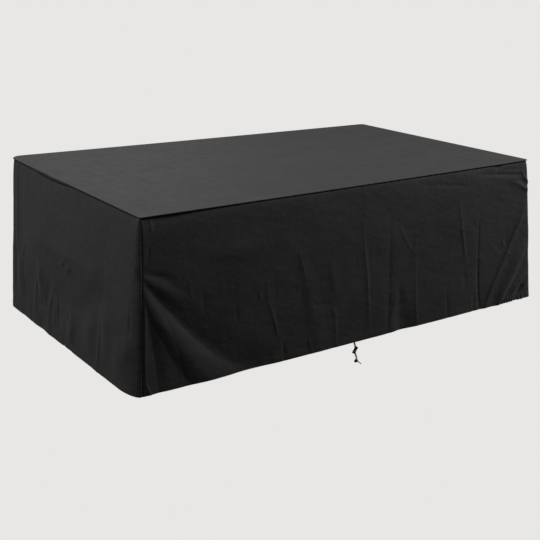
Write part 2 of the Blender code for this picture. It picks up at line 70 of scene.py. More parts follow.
# Each skirt panel is a row of stretches, each with its count of cells along the panel. A panel's own
# cell is the height of its rows, and flat is the size to which its cloth is cut.
Stretch = namedtuple("Stretch", "kind corner end cells")
Panel = namedtuple("Panel", "stretches counts_from cell flat")
PANELS = {
    "skirt_front": Panel(
        (Stretch("side", "near", "right", 568), Stretch("bend", "right", "right", 16)),
        "near", 0.0050, (2.24, 0.76),
    ),
    "skirt_right": Panel((Stretch("side", "right", "far", 170),), "right", 0.0070, (1.33, 0.76)),
    "skirt_back": Panel(
        (Stretch("bend", "far", "far", 16), Stretch("side", "far", "left", 275)),
        "left", 0.0070, (2.24, 0.76),
    ),
    "skirt_left": Panel(
        (
            Stretch("bend", "left", "left", 30),
            Stretch("side", "left", "near", 285),
            Stretch("bend", "near", "near", 44),
        ),
        "near", 0.0050, (1.46, 0.76),
    ),
}

# Turned edges of a skirt panel, as (distance in behind the face, distance past the edge).
TOP_TURN = ((0.0020, 0.0), (0.0010, -0.0001), (0.0003, -0.0006))
HEM_TURN = ((0.0003, 0.0004), (0.0010, 0.0008), (0.0018, 0.0004), (0.0023, -0.0010))
SEAM_TURN = ((0.0120, 0.0004), (0.0060, 0.0004), (0.0025, 0.0003), (0.0009, 0.0001))
HEM_CHANNEL = 0.032  # height of the drawstring channel, folded up inside the hem
HEM_SWELL = 0.0006  # how far the channel stands out
CHANNEL_RISE = 0.006  # height over which it comes out
TOP_DROPS = (0.0009, 0.0018, 0.0030, 0.0045, 0.0065, 0.0090, 0.0120)  # close rows under the edge
HEM_RISES = (0.0100, 0.0068, 0.0042, 0.0022, 0.0008)  # close rows above the hem
HEM_INNER = 0.0035  # above the hem, where the channel's inner layer begins
HEM_DEEP = 0.0026  # the inner layer, in behind the face
HEM_JOIN = (0.0022, 0.0014)  # its last two rows, which come back towards the face
HEM_INNER_ROWS = 7
SIDE_CROWDING = 0.35  # how far a side's columns are drawn together at its ends
SEAM_DEPTH = 0.0030  # of the groove along a seam
SEAM_REACH = 0.0045  # half width of that groove
SEAM_START = 0.020  # drop over which that groove deepens
SEAM_HOLD = 0.002  # share of the folds that is left at the seam, as a distance
SEAM_APART = 0.0005  # from the seam's line to each of the two panels that meet there
LIP_END = 0.0014  # below the lip, where a skirt begins to come out again
LIP_CLEAR = 0.0050  # height over which it comes out
LIP_TUCK = 0.0010  # how far a skirt is held in behind the lip
FOLD_MARGIN = 3.2  # half widths beyond which a fold is left out
FOLD_CALM = 0.010  # folds fade out within this distance of a seam

# Folds -----------------------------------------------------------------------------------------
# A fold runs through its rows, in millimetres. Each row has the distance along the side, the drop
# below the top edge, the height (a ridge stands out, a trough goes in) and two half widths. For rows
# that run down, "left" lies towards the corner from which the side is measured, and "right" away from
# it. For rows that run away from that corner, "left" lies below the fold and "right" above it. Half
# widths that are the same in all rows are given once, as the fold's sides.
Row = namedtuple("Row", "along drop height left right")
Fold = namedtuple("Fold", "profile rows")
SOFT, CREASE, PLEAT, RIDGE = "soft", "crease", "pleat", "ridge"
MM_PER_METRE = 1000.0
CREASE_POWER = 1.25  # of its fall beside its line, where a soft fold's is 2 and so is rounder
PLEAT_CREST = 0.25  # share of its height by which a pleat's crest is lowered and rounded
FOLD_STEPS = 5  # from one of a fold's rows to the next


def fold(profile, *rows, sides=()):
    rows = [(*row, *sides) for row in rows]
    return Fold(profile, [Row(*(number / MM_PER_METRE for number in row)) for row in rows])


FOLDS = {
    "skirt_front": (
        # the fan that pulls from the near seam down to the hem
        fold(SOFT, (28, 218, -0.8, 8, 10), (70, 232, -2.6, 12, 14), (120, 250, -2.4, 14, 16),
             (175, 285, 0, 14, 18)),
        fold(PLEAT, (30, 236, 1, 10, 12), (60, 260, 3.4, 18, 20), (100, 288, 4.6, 26, 28),
             (140, 316, 4.6, 32, 32), (190, 352, 3, 34, 32), (250, 405, 0, 30, 30)),
        fold(CREASE, (40, 264, -1.5, 12, 16), (60, 296, -3, 18, 26), (105, 350, -5.2, 28, 40),
             (155, 403, -7.8, 30, 56), (210, 462, -10, 32, 76), (260, 515, -11.2, 34, 90),
             (315, 565, -11.2, 36, 96), (370, 612, -10.4, 38, 96), (430, 652, -8.5, 40, 92),
             (500, 686, -5.8, 40, 80), (560, 702, -3.5, 40, 60), (640, 718, -1, 40, 40)),
        fold(PLEAT, (34, 274, 0, 16, 12), (50, 318, 3.6, 22, 24), (94, 400, 6.6, 32, 48),
             (142, 465, 8.8, 42, 62), (190, 528, 10, 52, 74), (240, 590, 10.6, 60, 86),
             (290, 645, 10, 66, 96), (345, 700, 8, 70, 104), (375, 745, 6.8, 70, 110)),
        fold(SOFT, (62, 370, -1, 14, 20), (90, 470, -5.2, 34, 40), (118, 560, -7.6, 46, 56),
             (150, 650, -8, 60, 64), (170, 745, -6, 66, 70)),
        fold(PLEAT, (46, 315, 0, 12, 12), (66, 380, 3.4, 18, 40), (92, 450, 6.4, 28, 50),
             (117, 530, 8, 36, 60), (139, 610, 8.4, 42, 64), (160, 700, 8, 46, 70),
             (168, 740, 7.8, 46, 70)),
        fold(CREASE, (36, 300, 0, 6, 6), (40, 400, 2.2, 6, 6), (46, 540, 2.8, 7, 7),
             (53, 660, 2.2, 7, 7)),
        fold(CREASE, (50, 655, 0, 6, 5), (60, 680, 3, 6, 5), (78, 725, 3, 8, 6)),
        # short creases beside the near seam and above the fan
        fold(CREASE, (50, 5, 1), (52, 40, 2), (58, 70, 0), sides=(9, 5)),
        fold(CREASE, (44, 90, 0), (42, 150, -2), (38, 190, 0), sides=(5, 9)),
        fold(CREASE, (222, 250, 0), (229, 310, 0.6), (242, 350, 0.8), (280, 397, 0), sides=(6, 6)),
        fold(CREASE, (205, 335, 0), (235, 363, 0.8), (280, 402, 0), sides=(6, 6)),
        fold(SOFT, (286, 310, 0), (297, 370, -1.1), (310, 440, 0), sides=(12, 10)),
        fold(SOFT, (438, 310, 0), (444, 360, -0.8), (450, 400, 0), sides=(14, 10)),
        fold(SOFT, (450, 410, 0), (460, 460, -1.3), (472, 510, 0), sides=(12, 9)),
        fold(SOFT, (200, 158, 0), (330, 188, 2.4), (460, 206, 2.4), (620, 226, 0), sides=(26, 50)),
        # the arch and the hook-shaped crease
        fold(CREASE, (530, 385, 0), (552, 356, 1.8), (590, 360, 0), sides=(12, 10)),
        fold(CREASE, (560, 372, 0), (570, 405, 1.8), (578, 425, 0), sides=(6, 5)),
        fold(CREASE, (598, 310, 0, 8, 10), (601, 380, 1, 8, 10), (612, 430, 1.4, 8, 10),
             (632, 480, 1.7, 8, 8), (652, 535, 2.4, 7, 5), (668, 580, 2.2, 7, 4), (676, 605, 0, 7, 5)),
        fold(CREASE, (622, 285, 0), (636, 340, -1), (643, 400, -1), (652, 460, 0), sides=(6, 8)),
        fold(SOFT, (540, 720, -3, 30, 60), (620, 700, -3, 30, 50)),
        fold(CREASE, (700, 620, 0), (706, 660, -2.5), (712, 725, -1), sides=(8, 8)),
        # the flat pleat that leans to the right, and the crease across it
        fold(PLEAT, (757, 240, 0, 14, 30), (778, 305, 1.6, 26, 40), (803, 380, 2.6, 34, 50),
             (820, 430, 3, 38, 55), (841, 500, 3.2, 44, 60), (864, 590, 3.4, 50, 60),
             (886, 660, 3.4, 52, 60), (906, 730, 2.8, 50, 60)),
        fold(CREASE, (750, 235, 0), (768, 285, 1.2), (788, 335, 1), (808, 390, 0), sides=(6, 4)),
        fold(CREASE, (835, 475, 0), (848, 520, 0.9), (862, 580, 0), sides=(6, 4)),
        fold(CREASE, (822, 600, 0, 6, 5), (840, 660, 1.4, 6, 4), (866, 725, 1.6, 6, 4)),
        fold(CREASE, (830, 462, 0, 7, 9), (846, 483, -1.1, 7, 9), (868, 496, -1.6, 7, 9),
             (905, 502, -1.6, 7, 9), (938, 507, -1.2, 7, 8), (956, 522, 0, 7, 7)),
        fold(CREASE, (944, 505, 0, 9, 6), (962, 535, 1.4, 9, 5), (976, 580, 1.8, 9, 5),
             (984, 640, 1.8, 9, 5), (998, 730, 1.2, 9, 5)),
        fold(SOFT, (922, 290, 0), (935, 360, 1.8), (955, 430, 1.6), (975, 500, 0), sides=(16, 26)),
        fold(SOFT, (725, 300, 0), (740, 350, -1.2), (735, 410, 0), sides=(14, 16)),
        # line A, with its branch
        fold(CREASE, (1094, 90, 0.3, 18, 10), (1099, 200, 1, 18, 8), (1110, 275, 2, 16, 6),
             (1126, 345, 2.7, 15, 5), (1142, 430, 2.9, 15, 5), (1153, 500, 2.8, 15, 5),
             (1166, 590, 2, 15, 6), (1182, 680, 0.4, 15, 8)),
        fold(CREASE, (1168, 262, 0), (1158, 320, 1.8), (1148, 368, 0.8), sides=(6, 5)),
        # line B, with its branches
        fold(CREASE, (1250, 150, -0.3, 20, 11), (1258, 280, -1.2, 20, 10), (1267, 370, -2, 20, 10),
             (1276, 500, -2.4, 20, 10), (1286, 620, -2.6, 18, 10), (1295, 730, -2.2, 18, 11)),
        fold(CREASE, (1276, 515, 1), (1300, 556, 0), sides=(6, 5)),
        fold(CREASE, (1342, 568, 0), (1318, 600, 1.4), (1298, 655, 0.6), sides=(7, 6)),
        # the bright diagonal and line C
        fold(CREASE, (1290, 200, 0), (1330, 250, 1.1), (1390, 333, 1.2), (1425, 368, 0), sides=(8, 5)),
        fold(CREASE, (1325, 165, 0), (1370, 192, 0.8), (1395, 228, 0), sides=(8, 6)),
        fold(CREASE, (1400, 180, 0, 14, 8), (1413, 300, 1, 14, 6), (1428, 430, 1.1, 14, 6),
             (1448, 580, 2.2, 14, 5), (1474, 730, 1.8, 14, 5)),
        fold(SOFT, (1345, 570, -2, 20, 30), (1362, 630, -6, 36, 50), (1375, 740, -11, 44, 70)),
        fold(SOFT, (1335, 500, -1, 16, 20), (1345, 545, -2.5, 18, 20), (1350, 580, -1, 18, 20)),
        # soft creases under the top edge, and the small fan below the right corner
        fold(CREASE, (1380, 44, 0), (1500, 52, -1.4), (1650, 72, -1.6), (1780, 92, 0), sides=(9, 8)),
        fold(CREASE, (1770, 28, 0), (1860, 44, -2.2), (2000, 58, -2.6), (2090, 70, -1), sides=(9, 8)),
        fold(CREASE, (1930, 28, 0), (2020, 34, -1.8), (2090, 40, 0), sides=(7, 7)),
        fold(CREASE, (1960, 76, 0), (2040, 84, 1.6), (2090, 90, 0), sides=(10, 10)),
        fold(CREASE, (2070, 40, 0), (2094, 78, 4), (2134, 112, 4.5), sides=(10, 8)),
        fold(CREASE, (1980, 86, 0, 14, 10), (2060, 110, 3.6, 14, 10), (2128, 148, 5, 12, 10)),
        # line D, line E and its branches
        fold(CREASE, (1660, 130, 0.3, 10, 10), (1685, 215, 1.4, 8, 8), (1706, 295, 2.6, 8, 8),
             (1732, 385, 2.4, 8, 8), (1766, 495, 0, 10, 9)),
        fold(CREASE, (1806, 190, 0, 12, 8), (1813, 270, -1.4, 12, 7), (1826, 390, -2.6, 12, 7),
             (1842, 520, -3.2, 12, 7), (1862, 630, -3.2, 12, 7), (1886, 730, -2.4, 12, 8)),
        fold(CREASE, (1755, 255, 0), (1790, 290, -1.2), (1815, 315, 0), sides=(8, 8)),
        fold(CREASE, (1828, 444, 1.6), (1872, 470, 0), sides=(8, 6)),
        fold(CREASE, (1826, 610, 0), (1832, 660, -2), (1840, 725, -2), sides=(8, 7)),
        # the long diagonal to the right, with two short pairs beside it
        fold(CREASE, (2135, 200, 0.5, 8, 20), (2090, 305, 4.2, 7, 30), (2045, 405, 5.6, 7, 34),
             (1985, 535, 5.8, 8, 40), (1940, 635, 5.6, 8, 40), (1905, 730, 4, 8, 40)),
        fold(CREASE, (1985, 380, 0), (2000, 402, 2.2), (2015, 425, 0), sides=(7, 6)),
        fold(CREASE, (2034, 452, 1.8), (2080, 478, 0), sides=(7, 6)),
        # the ridge below the right corner, and the gathers in the hem beyond it
        fold(SOFT, (2165, 400, 2, 50, 26), (2122, 495, 11, 44, 26), (2074, 582, 14.5, 36, 26),
             (2030, 652, 12.5, 30, 22), (1998, 730, 7, 26, 20)),
        fold(SOFT, (2176, 590, 4, 20, 14), (2124, 640, 7, 16, 14), (2080, 680, 0, 12, 12)),
        fold(SOFT, (2166, 655, -6, 16, 16), (2142, 690, -9, 16, 16), (2122, 730, -4, 14, 14)),
        # faint short creases
        fold(CREASE, (1636, 510, 0), (1650, 620, -1.8), (1670, 725, -1.8), sides=(12, 9)),
        fold(SOFT, (1740, 490, 0), (1757, 540, -2), (1766, 620, 0), sides=(14, 12)),
        fold(SOFT, (1920, 392, 0), (1960, 410, -1.2), (2000, 440, 0), sides=(10, 12)),
    ),
    "skirt_left": (
        # the flap beside the near seam
        fold(PLEAT, (20, 0, 5, 34, 7), (22, 120, 6, 36, 7), (26, 205, 6, 38, 7), (27, 214, 0, 38, 7)),
        # the long level crease across the end
        fold(RIDGE, (280, 302, 0, 180, 260), (420, 298, 14, 200, 270), (600, 296, 22, 210, 270),
             (850, 294, 26, 210, 270), (1000, 300, 18, 200, 270), (1150, 312, 0, 180, 260)),
        # folds that stand above the hem, from the near corner to the back
        fold(SOFT, (55, 350, 0, 9, 9), (55, 430, -3, 9, 9), (58, 500, 0, 12, 12)),
        fold(SOFT, (70, 460, 0, 30, 30), (72, 540, 5, 40, 30), (70, 600, 0, 40, 30)),
        fold(SOFT, (130, 460, 0, 50, 50), (130, 580, 8, 50, 50), (140, 690, 1, 44, 44),
             (140, 740, 0, 40, 40)),
        fold(SOFT, (248, 380, 0, 54, 48), (248, 510, 9, 52, 46), (245, 650, 1, 48, 42),
             (240, 740, -1, 44, 40)),
        fold(SOFT, (300, 430, 0, 12, 16), (303, 500, 2, 10, 14), (310, 600, 3.5, 10, 14),
             (332, 740, 1, 11, 15)),
        fold(SOFT, (375, 240, 0, 60, 60), (385, 340, 5, 50, 60), (400, 440, -4, 50, 60),
             (400, 500, 3, 46, 60), (400, 570, 9, 50, 60), (395, 680, 1, 50, 60), (385, 740, -1, 50, 60)),
        fold(CREASE, (560, 318, 0), (590, 348, 4), (630, 378, 0), sides=(14, 10)),
        fold(CREASE, (610, 300, 0), (650, 335, 3), (690, 350, 0), sides=(14, 10)),
        fold(CREASE, (632, 510, 0), (634, 590, 5), (640, 650, 0), sides=(10, 10)),
        fold(SOFT, (580, 520, 0, 36, 36), (590, 620, 9, 32, 36), (600, 700, -1, 36, 36),
             (610, 740, -2, 36, 36)),
        fold(SOFT, (672, 560, 0, 14, 14), (670, 620, 3, 14, 14), (668, 700, -3, 14, 12),
             (668, 740, -1, 14, 12)),
        fold(CREASE, (730, 460, 0, 9, 9), (724, 560, -5, 9, 9), (720, 650, -1, 10, 10)),
        fold(CREASE, (745, 480, 0), (744, 560, 3), (742, 620, 0), sides=(7, 7)),
        fold(CREASE, (762, 490, 0), (766, 600, 4), (768, 660, 0), sides=(7, 7)),
        # the pair of flame-shaped folds
        fold(PLEAT, (790, 480, 0, 30, 14), (806, 530, 6, 30, 14), (826, 580, 6, 30, 16),
             (838, 660, 4, 30, 18), (840, 740, 1, 30, 18)),
        fold(SOFT, (860, 430, 0, 30, 30), (858, 490, 4, 26, 26), (855, 550, -4, 20, 20),
             (852, 600, 0, 20, 20)),
        fold(SOFT, (915, 390, 0, 40, 36), (916, 480, 11, 32, 30), (912, 590, -3, 32, 32),
             (912, 622, 1, 36, 34), (912, 680, -5, 38, 36), (915, 740, -3, 40, 36)),
        fold(CREASE, (896, 485, 0), (880, 540, 4), (858, 590, 0), sides=(10, 10)),
        fold(PLEAT, (960, 460, 0, 14, 34), (972, 530, 6, 14, 34), (988, 620, 3, 16, 34),
             (998, 740, 1, 18, 34)),
        fold(SOFT, (1120, 360, 0, 20, 18), (1142, 410, 4, 18, 16), (1140, 470, -4, 18, 16),
             (1125, 530, -3, 20, 18), (1095, 610, -1, 20, 18)),
        fold(SOFT, (1180, 430, 0, 50, 48), (1165, 540, 9, 48, 48), (1150, 630, 2, 46, 46),
             (1135, 690, -2, 44, 44), (1125, 740, -1, 44, 44)),
        fold(CREASE, (1095, 580, 0, 12, 12), (1068, 650, 3, 10, 14), (1040, 730, 1, 10, 14)),
        # the crease just before the left corner turns
        fold(SOFT, (1204, 0, 3.5, 14, 14), (1207, 220, 4, 14, 14), (1212, 380, 3, 16, 14),
             (1222, 480, 0, 20, 16)),
        fold(SOFT, (1235, 340, 0, 24, 20), (1230, 460, -7, 26, 24), (1226, 560, -3, 26, 24),
             (1222, 640, 0, 24, 20)),
    ),
    "skirt_back": (
        fold(SOFT, (200, 180, 0, 30, 40), (260, 420, 6, 35, 50), (310, 740, 5, 40, 60)),
        fold(CREASE, (430, 240, 0, 14, 10), (450, 420, 4, 14, 10), (490, 730, 3, 16, 12)),
        fold(SOFT, (620, 160, 0, 50, 40), (600, 460, -7, 50, 50), (570, 740, -5, 60, 55)),
        fold(PLEAT, (800, 280, 0, 20, 7), (830, 420, 4, 36, 7), (880, 730, 5, 48, 8)),
        fold(CREASE, (1080, 190, 0, 10, 14), (1070, 400, -4, 10, 12), (1040, 730, -4, 11, 13)),
        fold(SOFT, (1260, 300, 0, 35, 40), (1300, 520, 6, 40, 45), (1330, 740, 5, 50, 50)),
        fold(CREASE, (1500, 150, 0, 16, 9), (1470, 360, 4.5, 16, 9), (1420, 640, 3, 16, 10)),
        fold(SOFT, (1660, 220, 0, 40, 40), (1620, 480, -6, 50, 45), (1580, 740, -5, 55, 50)),
        fold(CREASE, (1840, 260, 0, 10, 10), (1800, 450, -4, 10, 10), (1740, 730, -4, 12, 12)),
        fold(SOFT, (2100, 240, 0, 20, 24), (2020, 430, 8, 24, 30), (1900, 660, 8, 30, 40),
             (1860, 740, 4, 34, 44)),
        fold(SOFT, (2120, 330, 0, 20, 20), (2060, 520, -6, 26, 26), (1990, 740, -5, 34, 34)),
    ),
    "skirt_right": (
        fold(SOFT, (50, 230, 0, 16, 20), (130, 400, 7, 24, 30), (240, 600, 8, 34, 44),
             (300, 740, 5, 40, 50)),
        fold(SOFT, (50, 290, 0, 16, 20), (100, 480, -5, 22, 26), (160, 740, -5, 30, 34)),
        fold(CREASE, (420, 220, 0, 10, 12), (450, 460, -4, 10, 12), (480, 730, -4, 11, 13)),
        fold(PLEAT, (620, 300, 0, 16, 6), (650, 460, 4, 32, 7), (700, 730, 5, 44, 8)),
        fold(SOFT, (860, 250, 0, 40, 34), (880, 500, -6, 45, 40), (870, 740, -5, 50, 50)),
        fold(CREASE, (1120, 180, 0, 16, 9), (1080, 420, 4.5, 16, 9), (1020, 730, 3, 16, 11)),
        fold(SOFT, (1250, 300, 0, 18, 20), (1200, 520, 6, 24, 24), (1130, 740, 5, 30, 30)),
    ),
}

# Gathers that the drawstring makes in the front hem, near the right corner.
Gather = namedtuple("Gather", "along height half_width")
HEM_GATHERS = (
    Gather(2.035, 0.0055, 0.005),
    Gather(2.052, 0.0045, 0.005),
    Gather(2.071, 0.0055, 0.006),
    Gather(2.090, 0.0045, 0.005),
    Gather(2.107, 0.0040, 0.005),
    Gather(2.131, 0.0055, 0.006),
    Gather(2.152, 0.0045, 0.005),
    Gather(2.174, 0.0045, 0.006),
)
GATHER_TOP = 0.670  # drop at which the gathers begin

# How each skirt meets the top's turned edge. The lip hangs down over the skirt. Below it the skirt
# dips in by the recess within the dip's height, and then swells out again by the bulge.
Rim = namedtuple("Rim", "along lip recess tall bulge")
RIMS = {
    "skirt_front": (
        Rim(0.00, 0.0020, 0.0030, 0.006, -0.001),
        Rim(0.05, 0.0015, 0.0060, 0.010, -0.001),
        Rim(0.15, 0.0015, 0.0070, 0.011, 0.000),
        Rim(0.25, 0.0018, 0.0045, 0.008, 0.001),
        Rim(0.35, 0.0022, 0.0030, 0.005, 0.002),
        Rim(0.55, 0.0025, 0.0024, 0.003, 0.004),
        Rim(1.00, 0.0022, 0.0024, 0.003, 0.005),
        Rim(1.60, 0.0024, 0.0024, 0.003, 0.005),
        Rim(1.86, 0.0022, 0.0026, 0.003, 0.005),
        Rim(1.91, 0.0030, 0.0050, 0.006, 0.005),
        Rim(1.96, 0.0024, 0.0026, 0.003, 0.005),
        Rim(2.13, 0.0024, 0.0030, 0.004, 0.004),
    ),
    "skirt_right": (Rim(0.0, 0.0026, 0.0024, 0.003, 0.003), Rim(1.30, 0.0026, 0.0024, 0.003, 0.003)),
    "skirt_back": (Rim(0.0, 0.0026, 0.0024, 0.003, 0.003), Rim(2.13, 0.0026, 0.0024, 0.003, 0.003)),
    "skirt_left": (
        Rim(0.00, 0.0026, 0.0022, 0.003, 0.000),
        Rim(0.30, 0.0026, 0.0022, 0.003, 0.001),
        Rim(0.60, 0.0030, 0.0024, 0.003, 0.002),
        Rim(0.70, 0.0085, 0.0034, 0.003, 0.002),
        Rim(0.86, 0.0100, 0.0036, 0.003, 0.002),
        Rim(1.00, 0.0060, 0.0030, 0.003, 0.002),
        Rim(1.10, 0.0030, 0.0024, 0.003, 0.002),
        Rim(1.30, 0.0026, 0.0022, 0.003, 0.001),
    ),
}
BULGE_REACH = 0.08  # drop over which the bulge grows
DIP_FADE = 4.0  # the dip fades out below over this many times its height
RIM_LEAST = 0.0005  # the least lip, recess and height of a dip
RIM_STEPS = 6  # from one rim row to the next

# Unevenness of the cloth: distance between its swellings along and down the side, and its height.
Unevenness = namedtuple("Unevenness", "along_scale drop_scale height seed lean", defaults=(0.0,))
UNEVEN_START = 0.05  # drop over which the skirts' unevenness grows
PANEL_OFFSET = 7.3  # between two skirts in the random relief
RELIEF_GAIN = 1.5  # brings the random relief to about unit height
SKIRT_UNEVENNESS = (
    Unevenness(0.42, 0.34, 0.0024, 11),
    Unevenness(0.16, 0.12, 0.0010, 12),
    Unevenness(0.085, 0.040, 0.00035, 13),
    Unevenness(0.036, 0.024, 0.00016, 14),
    Unevenness(0.018, 0.014, 0.00007, 15),
    Unevenness(0.140, 0.022, 0.00026, 16, 0.34),
    Unevenness(0.070, 0.013, 0.00008, 17, 0.30),
)
TOP_UNEVENNESS = (
    Unevenness(0.50, 0.40, 0.0022, 21),
    Unevenness(0.20, 0.14, 0.0009, 22),
    Unevenness(0.080, 0.060, 0.00035, 23),
)

# Soft unevenness of the taut top, as in its solid, and its creases as folds with x and y places.
Swell = namedtuple("Swell", "x y height reach")
TOP_SWELLS = (
    Swell(-0.72, -0.20, 0.0020, 0.30),
    Swell(-0.30, 0.25, -0.0025, 0.32),
    Swell(0.20, -0.28, 0.0020, 0.28),
    Swell(0.62, 0.18, -0.0030, 0.34),
    Swell(0.86, -0.22, 0.0015, 0.22),
)
TOP_FOLDS = (
    fold(SOFT, (-1050, 170, -2), (-960, 100, -2.2), (-800, 50, -2.2), (-450, 40, -1.2), (-200, 30, 0),
         sides=(35, 45)),
    fold(CREASE, (660, 620, -2), (620, 500, 0), sides=(12, 12)),
    fold(CREASE, (60, -630, -2, 10, 12), (100, -550, 0, 12, 12)),
    fold(CREASE, (480, -640, -0.6, 10, 12), (500, -540, 0, 12, 12)),
    fold(SOFT, (700, 20, -2.5), (740, -80, 0), sides=(20, 20)),
)
TOP_CELL = 0.008  # cell size of the top's grid
TOP_SAG = 0.0015  # of the top's long edges between the corners
TOP_CROWDING = 0.5  # how far the top's grid is drawn together at its edges
SWELL_RISE = 4.0  # the swells reach full height at this share of the way in, as one over the share
UNEVEN_RISE = 20.0  # the same for the unevenness
SAG_FADE = 8.0  # the same for the sag, which fades out inwards
# The top's turned edge, as rings of (distance outwards, distance down, share of the lip's drop).
TOP_EDGE = (
    (0.0004, 0.0001, 0.0), (0.0008, 0.0006, 0.0), (0.0009, 0.0008, 0.45), (0.0009, 0.0008, 0.75),
    (0.0009, 0.0008, 1.0), (0.0005, 0.0012, 1.0), (-0.0001, 0.0006, 1.0),
)
RING_STEP = 0.002  # of the cloth's grain from one ring to the next
TOP_OFFSET = 3.1  # place of the top in the random relief

# Drawstring, cord lock and knot, as in the solids ----------------------------------------------
STRAND = 0.0036  # diameter of one strand
LOCK_CENTRE = Vector((-0.0195, -0.6778, -0.7536))  # in the middle of the bore
LOCK_TILT = math.radians(55)  # the button end is the higher one
Place = namedtuple("Place", "x y z spread")
STRANDS_MIDDLE = (
    Place(-0.0031, 0.0018, 0.0416, 0.00205),
    Place(-0.0022, 0.0010, 0.0345, 0.00205),
    Place(-0.0004, -0.0015, 0.0250, 0.00205),
    Place(-0.0020, -0.0048, 0.0160, 0.00205),
    Place(-0.0054, -0.0070, 0.0098, 0.00205),
    Place(-0.0062, -0.0073, 0.0058, 0.00205),
    Place(-0.0043, -0.0053, 0.0030, 0.00205),
    Place(0.0000, 0.0000, 0.0000, 0.00205),
    Place(0.0043, 0.0053, -0.0030, 0.00205),
    Place(0.0062, 0.0073, -0.0058, 0.00205),
    Place(0.0065, 0.0068, -0.0100, 0.00205),
    Place(0.0078, 0.0045, -0.0185, 0.00205),
    Place(0.0102, 0.0015, -0.0290, 0.00220),
    Place(0.0116, 0.0001, -0.0365, 0.00270),
    Place(0.0120, 0.0001, -0.0424, 0.00235),
)
STRANDS = {"drawstring_strand_left": -1, "drawstring_strand_right": 1}
STRAND_STEP = 0.0035  # between two points of a strand
TAIL_ROUTE = (
    (-0.0010, -0.6777, -0.8060),
    (0.0040, -0.6778, -0.8110),
    (0.0100, -0.6780, -0.8170),
    (0.0160, -0.6780, -0.8220),
    (0.0215, -0.6779, -0.8262),
)
WRAPS_CENTRE = Vector((-0.0112, -0.6777, -0.8052))
WRAPS_WIDTH = 0.0102  # of the knot's wraps, along X
WRAPS_RADIUS = 0.0049  # to the middle of the strand
WRAPS_TURNS = 3.4
LOOP_CENTRE = Vector((-0.0022, -0.6767, -0.8052))
LOOP_RADIUS = 0.0033  # of the loop round the tail beside the wraps
LOOP_TURN = math.radians(320)
WRAPS_POINTS = 60
LOOP_POINTS = 14
ROUTE_STEPS = 16  # from one of a route's rows to the next, before it is made even
CORD_STEP = 0.0012  # between two points of a strand's cord
KNOT_STEP = 0.0010  # between two points of the knot's cord
TAIL_TIPS = (0.72, 0.95)  # share of the radius at the last point and the one before it

# Camera and studio -----------------------------------------------------------------------------
CAMERA_PLACE = Vector((-2.6952, -3.8873, 0.9233))
CAMERA_YAW = math.radians(34.545)  # from +Y towards +X
CAMERA_PITCH = math.radians(17.378)  # downwards
CAMERA_ROLL = math.radians(0.648)
SENSOR = 36.0  # mm
FRAME_PIXELS = 540.0
FOCAL_PIXELS = 997.3  # the focal length, in pixels of that frame
LENS = SENSOR * FOCAL_PIXELS / FRAME_PIXELS
CAMERA_REACH = 60.0  # the farthest that the camera sees
FLOOR_HEIGHT = -0.85
FLOOR_SIZE = 40.0
BACKDROP_COLOUR = (0.8148, 0.7991, 0.7835)
FILL_COLOUR = (0.022, 0.022, 0.022)


# Small mathematics -----------------------------------------------------------------------------


def unit(vectors):
    return vectors / np.linalg.norm(vectors, axis=-1, keepdims=True)


def smoothstep(value):
    value = np.clip(value, 0.0, 1.0)
    return value * value * (3.0 - 2.0 * value)


def smooth_rows(rows, steps):
    """Rows of numbers on one smooth curve through the given rows."""
    rows = np.array(rows, dtype=float)
    padded = np.vstack((2 * rows[0] - rows[1], rows, 2 * rows[-1] - rows[-2]))
    fine = []
    for before, start, end, after in zip(padded, padded[1:], padded[2:], padded[3:]):
        for tick in range(steps):
            t = tick / steps
            fine.append(0.5 * (
                2 * start
                + (end - before) * t
                + (2 * before - 5 * start + 4 * end - after) * t**2
                + (3 * start - before - 3 * end + after) * t**3
            ))
    fine.append(rows[-1])
    return np.array(fine)


def even_route(rows, step):
    """Evenly spaced rows on the smooth curve, measured by their first three numbers."""
    fine = smooth_rows(rows, ROUTE_STEPS)
    steps = np.linalg.norm(np.diff(fine[:, :3], axis=0), axis=1)
    lengths = np.concatenate(((0.0,), np.cumsum(steps)))
    count = max(2, round(lengths[-1] / step))
    marks = np.linspace(0.0, lengths[-1], count + 1)
    return np.column_stack([np.interp(marks, lengths, column) for column in fine.T])


def swellings(x, y, seed):
    """Smooth random relief of about unit spacing and unit height."""
    cells = 256
    angles = np.random.default_rng(seed).uniform(0.0, 2.0 * math.pi, (cells, cells))
    column, row = np.floor(x).astype(int), np.floor(y).astype(int)
    across, down = x - column, y - row
    slopes = []
    for step_y in (0, 1):
        for step_x in (0, 1):
            angle = angles[(row + step_y) % cells, (column + step_x) % cells]
            slopes.append(np.cos(angle) * (across - step_x) + np.sin(angle) * (down - step_y))
    fade_x = across**3 * (across * (across * 6 - 15) + 10)
    fade_y = down**3 * (down * (down * 6 - 15) + 10)
    near = slopes[0] + (slopes[1] - slopes[0]) * fade_x
    far = slopes[2] + (slopes[3] - slopes[2]) * fade_x
    return (near + (far - near) * fade_y) * RELIEF_GAIN


def unevenness(layers, along, drop, offset):
    total = np.zeros(along.shape)
    for layer in layers:
        x = along / layer.along_scale + offset
        y = (drop - layer.lean * along) / layer.drop_scale + offset
        total += layer.height * swellings(x, y, layer.seed)
    return total


# The box ---------------------------------------------------------------------------------------


def top_corner(name):
    """Corner of the top panel's underside."""
    corner = CORNERS[name]
    flat = np.array((corner.x_side * LENGTH / 2, corner.y_side * WIDTH / 2, 0.0))
    return flat + np.array(corner.top_shift)


def hem_corner(name):
    corner = CORNERS[name]
    flat = np.array((
        corner.x_side * (LENGTH / 2 + END_FLARE),
        corner.y_side * (WIDTH / 2 + SIDE_FLARE),
        -DROP,
    ))
    return flat + np.array(corner.hem_shift)


